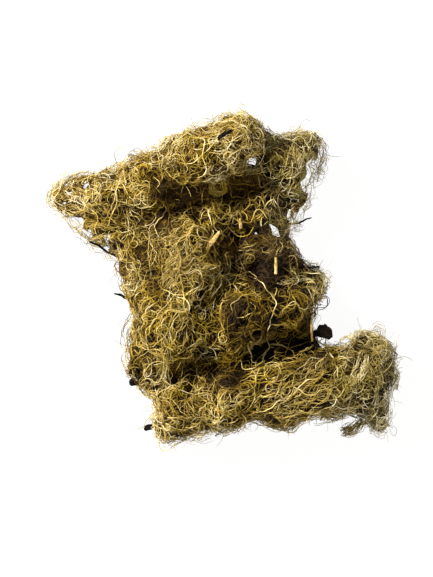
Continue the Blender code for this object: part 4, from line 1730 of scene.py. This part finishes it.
class TuftBuilder:
    """Grows a tuft's strands and the dark matted strands under them, and dresses them."""

    def __init__(self, field: SkinField, materials: dict[str, bpy.types.Material]) -> None:
        """Keeps what every tuft needs."""
        self.field = field
        self.materials = materials

    def skin_area(self, node: bpy.types.Object) -> float:
        """Outer skin of a tuft in square millimetres, the under side and the airy parts counted lightly."""
        mesh = node.data
        centres = np.array([face.center for face in mesh.polygons]) / MM
        areas = np.array([face.area for face in mesh.polygons]) / MM**2
        ups = np.array([face.normal.z for face in mesh.polygons])
        depth, _ = self.field.read(centres, carved=False)
        return float(
            (
                areas
                * (depth > OUTER_SKIN)
                * np.interp(ups, UP_STEPS, UP_WEIGHTS)
                * blend(AIRY, centres)
            ).sum()
        )

    def tones(self, path: np.ndarray, habit: Habit, rng: np.random.Generator) -> np.ndarray:
        """Tone along each strand: its own, with painted shade that darkens it the deeper it lies, and the
        tone patches' painted light and shade.
        """
        count, most, _ = path.shape
        own = rng.uniform(*habit.tone, count)[:, None]
        points = path.reshape(-1, 3)
        sunk = self.field.read(points, carved=False)[0].reshape(count, most)
        depth = sunk if habit.over else self.field.read(points)[0].reshape(count, most)
        # Painted shade: the tone darkens the deeper a point lies under the skin and in the whole tangle, and
        # the tone patches then add their painted light and shade.
        depth_shade = np.interp(depth, SKIN_DEPTHS, SKIN_TONES)
        depth_shade *= np.interp(sunk, TANGLE_DEPTHS, TANGLE_TONES)
        drift = 0.06 * np.sin(np.cumsum(rng.normal(size=(count, most)) * 0.25, axis=1))
        return np.clip((own + drift) * depth_shade * blend(PAINTED_LIGHT_AND_SHADE, path), 0.0, 1.0)

    def build(self, tuft: Tuft, node: bpy.types.Object, seed: int) -> list[bpy.types.Object]:
        """Builds one tuft.

        Args:
            tuft: What grows on it.
            node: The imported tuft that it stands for.
            seed: Seed of its strands.

        Returns:
            The pieces.
        """
        coat = self._coat(tuft, node, StrandGrower(self.field, seed))
        strands = coat.build(tuft.node.replace("tuft", "strands"))
        strands.data.materials.append(self.materials[tuft.finish.name])
        felt = self._felt(tuft, node)
        felt.data.materials.clear()
        felt.data.materials.append(self.materials[FELTS[tuft.finish.name].name])
        for piece in (strands, felt):
            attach(piece, BODY)
            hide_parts(tuft.node)
        LOG.info("%s: %d triangles, felt %d faces", strands.name, coat.triangles(), len(felt.data.polygons))
        return [strands, felt]

    def _coat(self, tuft: Tuft, node: bpy.types.Object, grower: StrandGrower) -> StrandMesh:
        """All the strands of a tuft: each habit's, the branchlets, the strays and the tracks."""
        coat = StrandMesh()
        segments = self.skin_area(node) * SEGMENTS_PER_MM2
        total_share = sum(habit.share for habit in tuft.habits)
        for habit in tuft.habits:
            mean_steps = sum(habit.length) / 2 / habit.step * 0.9
            locks = max(int(segments * habit.share / total_share / mean_steps / habit.lock), 1)
            path, steps, halves = grower.thin(*grower.grow(grower.seeds_on(node, locks)[0], habit))
            coat.add(path, steps, halves, self.tones(path, habit, grower.rng), habit.tip)
            if habit.lock == 1:
                starts, headings = grower.branch_starts(path, steps, BRANCHES_ON_STOUT)
                path, steps, halves = grower.thin(*grower.grow(starts, BRANCHLET, headings))
                coat.add(path, steps, halves, self.tones(path, habit, grower.rng), 0.3)
        path, steps, halves = grower.stray(*grower.seeds_on(node, tuft.strays, rim=True))
        coat.add(
            path,
            steps,
            halves,
            grower.rng.uniform(0.35, 0.8, path.shape[:1])[:, None] * np.ones(path.shape[:2]),
            0.3,
        )
        layer = TrackLayer(self.field, grower.rng)
        for track in TRACKS.get(tuft.node, ()):
            coat.add(*layer.lay(track), 0.5)
        return coat

    def _felt(self, tuft: Tuft, node: bpy.types.Object) -> bpy.types.Object:
        """The matted inside of a tuft: its shape sunk under the hollows and lumps, with airy holes."""
        mesh = node.data.copy()
        mesh.materials.clear()
        shape = bmesh.new()
        shape.from_mesh(mesh)
        bmesh.ops.remove_doubles(shape, verts=shape.verts, dist=1e-6)
        shape.to_mesh(mesh)
        shape.free()
        felt = bpy.data.objects.new(tuft.node.replace("tuft", "felt"), mesh)
        bpy.context.scene.collection.objects.link(felt)
        bpy.ops.object.select_all(action="DESELECT")
        bpy.context.view_layer.objects.active = felt
        felt.select_set(True)
        self._even_out(felt)
        if self._open_holes(felt):
            self._even_out(felt)
        mesh = felt.data
        spots = np.empty(len(mesh.vertices) * 3)
        normals = np.empty(len(mesh.vertices) * 3)
        mesh.vertices.foreach_get("co", spots)
        mesh.vertices.foreach_get("normal", normals)
        spots = spots.reshape(-1, 3) / MM
        inner, _ = self.field.read(spots, carved=False)
        spots += normals.reshape(-1, 3) * (SEAM_OVERLAP * (inner < SEAM_DEPTH))[:, None]
        for _ in range(6):
            distance, outward = self.field.read(spots)
            sinking = tuft.felt_depth * np.interp(outward[:, 2], FELT_UPS, FELT_SINKING)
            spots -= outward * np.maximum(distance + sinking, 0)[:, None] * 0.7
        spots[:, 2] = np.maximum(spots[:, 2], FLOOR_CLEARANCE)
        mesh.vertices.foreach_set("co", (spots * MM).reshape(-1))
        sunk, _ = self.field.read(spots, carved=False)
        # Painted shade: the felt darkens with depth in the tangle, and takes the tone patches' painted light
        # and shade.
        tone = tuft.felt_tone * np.interp(sunk, FELT_DEPTHS, FELT_TONES) * blend(PAINTED_LIGHT_AND_SHADE, spots)
        shade = mesh.attributes.new(TONE, "FLOAT", "POINT")
        shade.data.foreach_set("value", tone.astype(np.float32))
        mesh.update()
        mesh.shade_smooth()
        return felt

    @staticmethod
    def _even_out(felt: bpy.types.Object) -> None:
        """Gives the felt, which is the active object, one even closed skin."""
        remesh = felt.modifiers.new("even", "REMESH")
        remesh.mode = "VOXEL"
        remesh.voxel_size = FELT_GRAIN * MM
        bpy.ops.object.modifier_apply(modifier=remesh.name)

    def _open_holes(self, felt: bpy.types.Object) -> int:
        """Cuts ragged holes in the felt where one sees right through, and counts them."""
        spots = np.array([vert.co for vert in felt.data.vertices]) / MM
        low, high = spots.min(axis=0), spots.max(axis=0)
        holes = 0
        for number, patch in enumerate(AIRY):
            near = np.clip(np.array([patch.x, patch.y]), low[:2], high[:2])
            if patch.amount > SEE_THROUGH or patch.reach(near) > 1:
                continue
            for gap, lobe in enumerate(self._lobes(patch, number)):
                cutter = self._cutter(lobe, 10 * number + gap)
                cut = felt.modifiers.new(cutter.name, "BOOLEAN")
                cut.operation = "DIFFERENCE"
                cut.solver = "MANIFOLD"
                cut.object = cutter
                bpy.ops.object.modifier_apply(modifier=cut.name)
                bpy.data.objects.remove(cutter)
                holes += 1
        return holes

    @staticmethod
    def _lobes(patch: Patch, number: int) -> list[Patch]:
        """Splits a patch into the few gaps that its felt gets, end to end, with felt left between them."""
        rng = np.random.default_rng(500 + number)
        turn = math.radians(patch.turn)
        parts = max(round(patch.half_length / patch.half_width), 1)
        lobes = []
        for part in range(parts):
            along = patch.half_length * (2 * (part + 0.5) / parts - 1)
            aside = patch.half_width * 0.25 * rng.normal()
            lobes.append(
                Patch(
                    patch.x + along * math.cos(turn) - aside * math.sin(turn),
                    patch.y + along * math.sin(turn) + aside * math.cos(turn),
                    max(patch.half_length / parts * rng.uniform(0.9, 1.15), SMALLEST_HOLE),
                    max(patch.half_width * rng.uniform(0.85, 1.15), SMALLEST_HOLE),
                    patch.turn,
                )
            )
        return lobes

    @staticmethod
    def _cutter(patch: Patch, number: int) -> bpy.types.Object:
        """An upright ragged block over a patch."""
        rng = np.random.default_rng(number)
        sides = 16
        turn = math.radians(patch.turn)
        angles = 2 * np.pi * np.arange(sides) / sides
        sizes = rng.uniform(0.65, 1.0, sides)
        along = patch.half_length * sizes * np.cos(angles)
        across = patch.half_width * sizes * np.sin(angles)
        x = patch.x + along * math.cos(turn) - across * math.sin(turn)
        y = patch.y + along * math.sin(turn) + across * math.cos(turn)
        shape = bmesh.new()
        floor = [shape.verts.new((a * MM, b * MM, -5 * MM)) for a, b in zip(x, y)]
        roof = [shape.verts.new((a * MM, b * MM, 60 * MM)) for a, b in zip(x, y)]
        shape.faces.new(floor[::-1])
        shape.faces.new(roof)
        for k in range(sides):
            after = (k + 1) % sides
            shape.faces.new((floor[k], floor[after], roof[after], roof[k]))
        mesh = bpy.data.meshes.new("airy_hole")
        shape.to_mesh(mesh)
        shape.free()
        cutter = bpy.data.objects.new("airy_hole", mesh)
        bpy.context.scene.collection.objects.link(cutter)
        return cutter


# ---------------------------------------------------------------- wood and bark


# A bark piece broader than this, in millimetres, gets a torn outline. The bent twig counts as one.
BROAD_BARK = 4.0

# How far a piece rises above its packed place, in millimetres, so that the strands round it don't hide it.
RAISED = {"crest_bark_flake": 0.9}


class WoodKind(Enum):
    """What a wooden piece's surface is."""

    BARK = "dark_bark"
    PALE = "pale_wood"


class WoodBuilder:
    """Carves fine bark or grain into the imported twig, flakes and sticks."""

    def __init__(self, materials: dict[str, bpy.types.Material]) -> None:
        """Keeps the wood's materials."""
        self.materials = materials

    def build(self, node: bpy.types.Object, kind: WoodKind, grain: float) -> bpy.types.Object:
        """Makes the detailed piece that stands for one packed one.

        Args:
            node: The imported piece.
            kind: Its surface.
            grain: Size of the finest faces in millimetres.

        Returns:
            The piece.
        """
        mesh = node.data.copy()
        shape = bmesh.new()
        shape.from_mesh(mesh)
        bmesh.ops.remove_doubles(shape, verts=shape.verts, dist=1e-6)
        shape.to_mesh(mesh)
        shape.free()
        piece = bpy.data.objects.new(node.name + "_fine", mesh)
        bpy.context.scene.collection.objects.link(piece)
        bpy.ops.object.select_all(action="DESELECT")
        bpy.context.view_layer.objects.active = piece
        piece.select_set(True)
        remesh = piece.modifiers.new("fine", "REMESH")
        remesh.mode = "VOXEL"
        remesh.voxel_size = grain * MM
        bpy.ops.object.modifier_apply(modifier=remesh.name)
        self._carve(piece, kind, grain)
        finish = DARK_BARK_AND_SHADE if kind is WoodKind.BARK else PALE_WOOD
        piece.data.materials.clear()
        piece.data.materials.append(self.materials[finish.name])
        bpy.ops.object.shade_smooth_by_angle(angle=math.radians(50))
        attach(piece, BODY)
        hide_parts(node.name)
        LOG.info("%s: %d faces", piece.name, len(piece.data.polygons))
        return piece

    @staticmethod
    def _torn_edge(local: np.ndarray, rng: np.random.Generator) -> np.ndarray:
        """How far each point of a broad piece moves in its own plane to leave a torn, angular outline."""
        angle = np.arctan2(local[:, 1], local[:, 0])
        corners = np.sort(rng.uniform(-np.pi, np.pi, 11))
        sizes = rng.uniform(0.68, 1.12, 11)
        around = np.concatenate([corners - 2 * np.pi, corners, corners + 2 * np.pi])
        share = np.interp(angle, around, np.tile(sizes, 3)) - 1
        return local * share[:, None] * np.array([1.0, 1.0, 0.0])

    def _carve(self, piece: bpy.types.Object, kind: WoodKind, grain: float) -> None:
        """Carves lengthwise ridges, tears a broad bark piece's outline and lifts a hidden piece."""
        mesh = piece.data
        count = len(mesh.vertices)
        spots = np.empty(count * 3)
        normals = np.empty(count * 3)
        mesh.vertices.foreach_get("co", spots)
        mesh.vertices.foreach_get("normal", normals)
        spots = spots.reshape(-1, 3) / MM
        normals = normals.reshape(-1, 3)
        middle = spots.mean(axis=0)
        axes = np.linalg.svd(spots - middle, full_matrices=False)[2]
        local = (spots - middle) @ axes.T
        stretch = np.array([0.35, 1.0, 1.0]) if kind is WoodKind.PALE else np.array([0.6, 1.0, 1.0])
        rng = np.random.default_rng(len(piece.name))
        relief = np.zeros(count)
        for _ in range(18):
            wave = rng.normal(size=3) * stretch
            wave *= 2 * np.pi / (rng.uniform(0.8, 2.4) * np.linalg.norm(wave))
            relief += np.abs(np.sin(local @ wave + rng.uniform(0, 6.3)))
        relief -= relief.mean()
        spots += normals * (relief * grain * 0.16)[:, None]
        if kind is WoodKind.BARK and np.ptp(local[:, 1]) > BROAD_BARK:
            spots += self._torn_edge(local, rng) @ axes
        spots[:, 2] += RAISED.get(piece.name.removesuffix("_fine"), 0.0)
        mesh.vertices.foreach_set("co", (spots * MM).reshape(-1))
        mesh.update()


# Each wooden piece, its surface and the size of its finest faces in millimetres.
WOOD = (
    ("twig", WoodKind.BARK, 0.4),
    ("twig_fork", WoodKind.BARK, 0.3),
    ("twig_end_bark", WoodKind.BARK, 0.3),
    ("side_bark_flake", WoodKind.BARK, 0.3),
    ("left_twiglet", WoodKind.BARK, 0.22),
    ("lower_arm_twiglet", WoodKind.BARK, 0.2),
    ("arm_needle", WoodKind.BARK, 0.14),
    ("kinked_twiglet", WoodKind.BARK, 0.16),
    ("right_twiglet", WoodKind.BARK, 0.2),
    ("crest_bark_flake", WoodKind.BARK, 0.25),
    ("heel_crumb", WoodKind.BARK, 0.2),
    ("pale_splinter", WoodKind.PALE, 0.2),
    ("ledge_stick", WoodKind.PALE, 0.16),
    ("brown_tuft_stick", WoodKind.PALE, 0.16),
    ("gap_stick", WoodKind.PALE, 0.16),
)


# ---------------------------------------------------------------- studio


@dataclass(frozen=True)
class Studio:
    """A pale floor, light from the upper left with weak fills, and a long lens looking straight down."""

    camera_height: float = 1.0
    frame_height: float = 0.202
    off_centre: tuple[float, float] = (-0.0021, -0.0032)
    focus_height: float = 0.018

    def build(self) -> None:
        """Makes the floor, the lights and the camera."""
        self._floor()
        self._camera()
        self._lamp("key_light", (-0.75, 0.5, 0.8), 0.16, 41.0, "#fff8ec")
        self._lamp("fill_light", (0.5, -0.4, 1.2), 0.9, 2.5, "#fffaf0")
        self._lamp("edge_light", (0.7, -0.6, 0.4), 0.8, 4.5, "#fff8ec")
        world = bpy.data.worlds.new("studio")
        world.use_nodes = True
        world.node_tree.nodes["Background"].inputs["Color"].default_value = linear("#fff8ea")
        world.node_tree.nodes["Background"].inputs["Strength"].default_value = 0.17
        bpy.context.scene.world = world
        bpy.context.scene.view_settings.view_transform = "Standard"

    def _floor(self) -> None:
        """A plain pale floor."""
        bpy.ops.mesh.primitive_plane_add(size=6, location=(0, 0, 0))
        floor = bpy.context.object
        floor.name = "floor"
        material = bpy.data.materials.new("plain_pale_floor")
        material.use_nodes = True
        shader = material.node_tree.nodes["Principled BSDF"]
        shader.inputs["Base Color"].default_value = linear("#5a5a5a")
        shader.inputs["Roughness"].default_value = 0.9
        shader.inputs["Specular IOR Level"].default_value = 0.1
        shader.inputs["Emission Color"].default_value = linear("#ffffff")
        shader.inputs["Emission Strength"].default_value = 0.95
        floor.data.materials.append(material)

    def _camera(self) -> None:
        """A long lens straight over the tangle."""
        data = bpy.data.cameras.new("camera")
        data.sensor_width = 36.0
        data.lens = 36.0 * (self.camera_height - self.focus_height) / self.frame_height
        camera = bpy.data.objects.new("camera", data)
        camera.location = (self.off_centre[0], self.off_centre[1], self.camera_height)
        bpy.context.scene.collection.objects.link(camera)
        bpy.context.scene.camera = camera

    @staticmethod
    def _lamp(name: str, place: tuple[float, float, float], size: float, power: float, color: str) -> None:
        """One square soft lamp aimed at the tangle."""
        data = bpy.data.lights.new(name, "AREA")
        data.size = size
        data.energy = power
        data.color = linear(color)[:3]
        lamp = bpy.data.objects.new(name, data)
        lamp.location = place
        lamp.rotation_euler = (-Vector(place)).to_track_quat("-Z", "Y").to_euler()
        bpy.context.scene.collection.objects.link(lamp)


def main() -> None:
    """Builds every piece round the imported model."""
    logging.basicConfig(level=logging.INFO, format="%(message)s")
    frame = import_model()
    nodes = frame["nodes"]
    Studio().build()
    finishes = (GOLDEN, GREY, BROWN, DARK_BARK_AND_SHADE, PALE_WOOD, *FELTS.values())
    materials = {finish.name: finish.make() for finish in finishes}
    field = SkinField([nodes[tuft.node] for tuft in TUFTS], HOLLOWS)
    tufts = TuftBuilder(field, materials)
    for number, tuft in enumerate(TUFTS):
        tufts.build(tuft, nodes[tuft.node], seed=100 + number)
    wood = WoodBuilder(materials)
    for name, kind, grain in WOOD:
        wood.build(nodes[name], kind, grain)


if __name__ == "__main__":
    main()
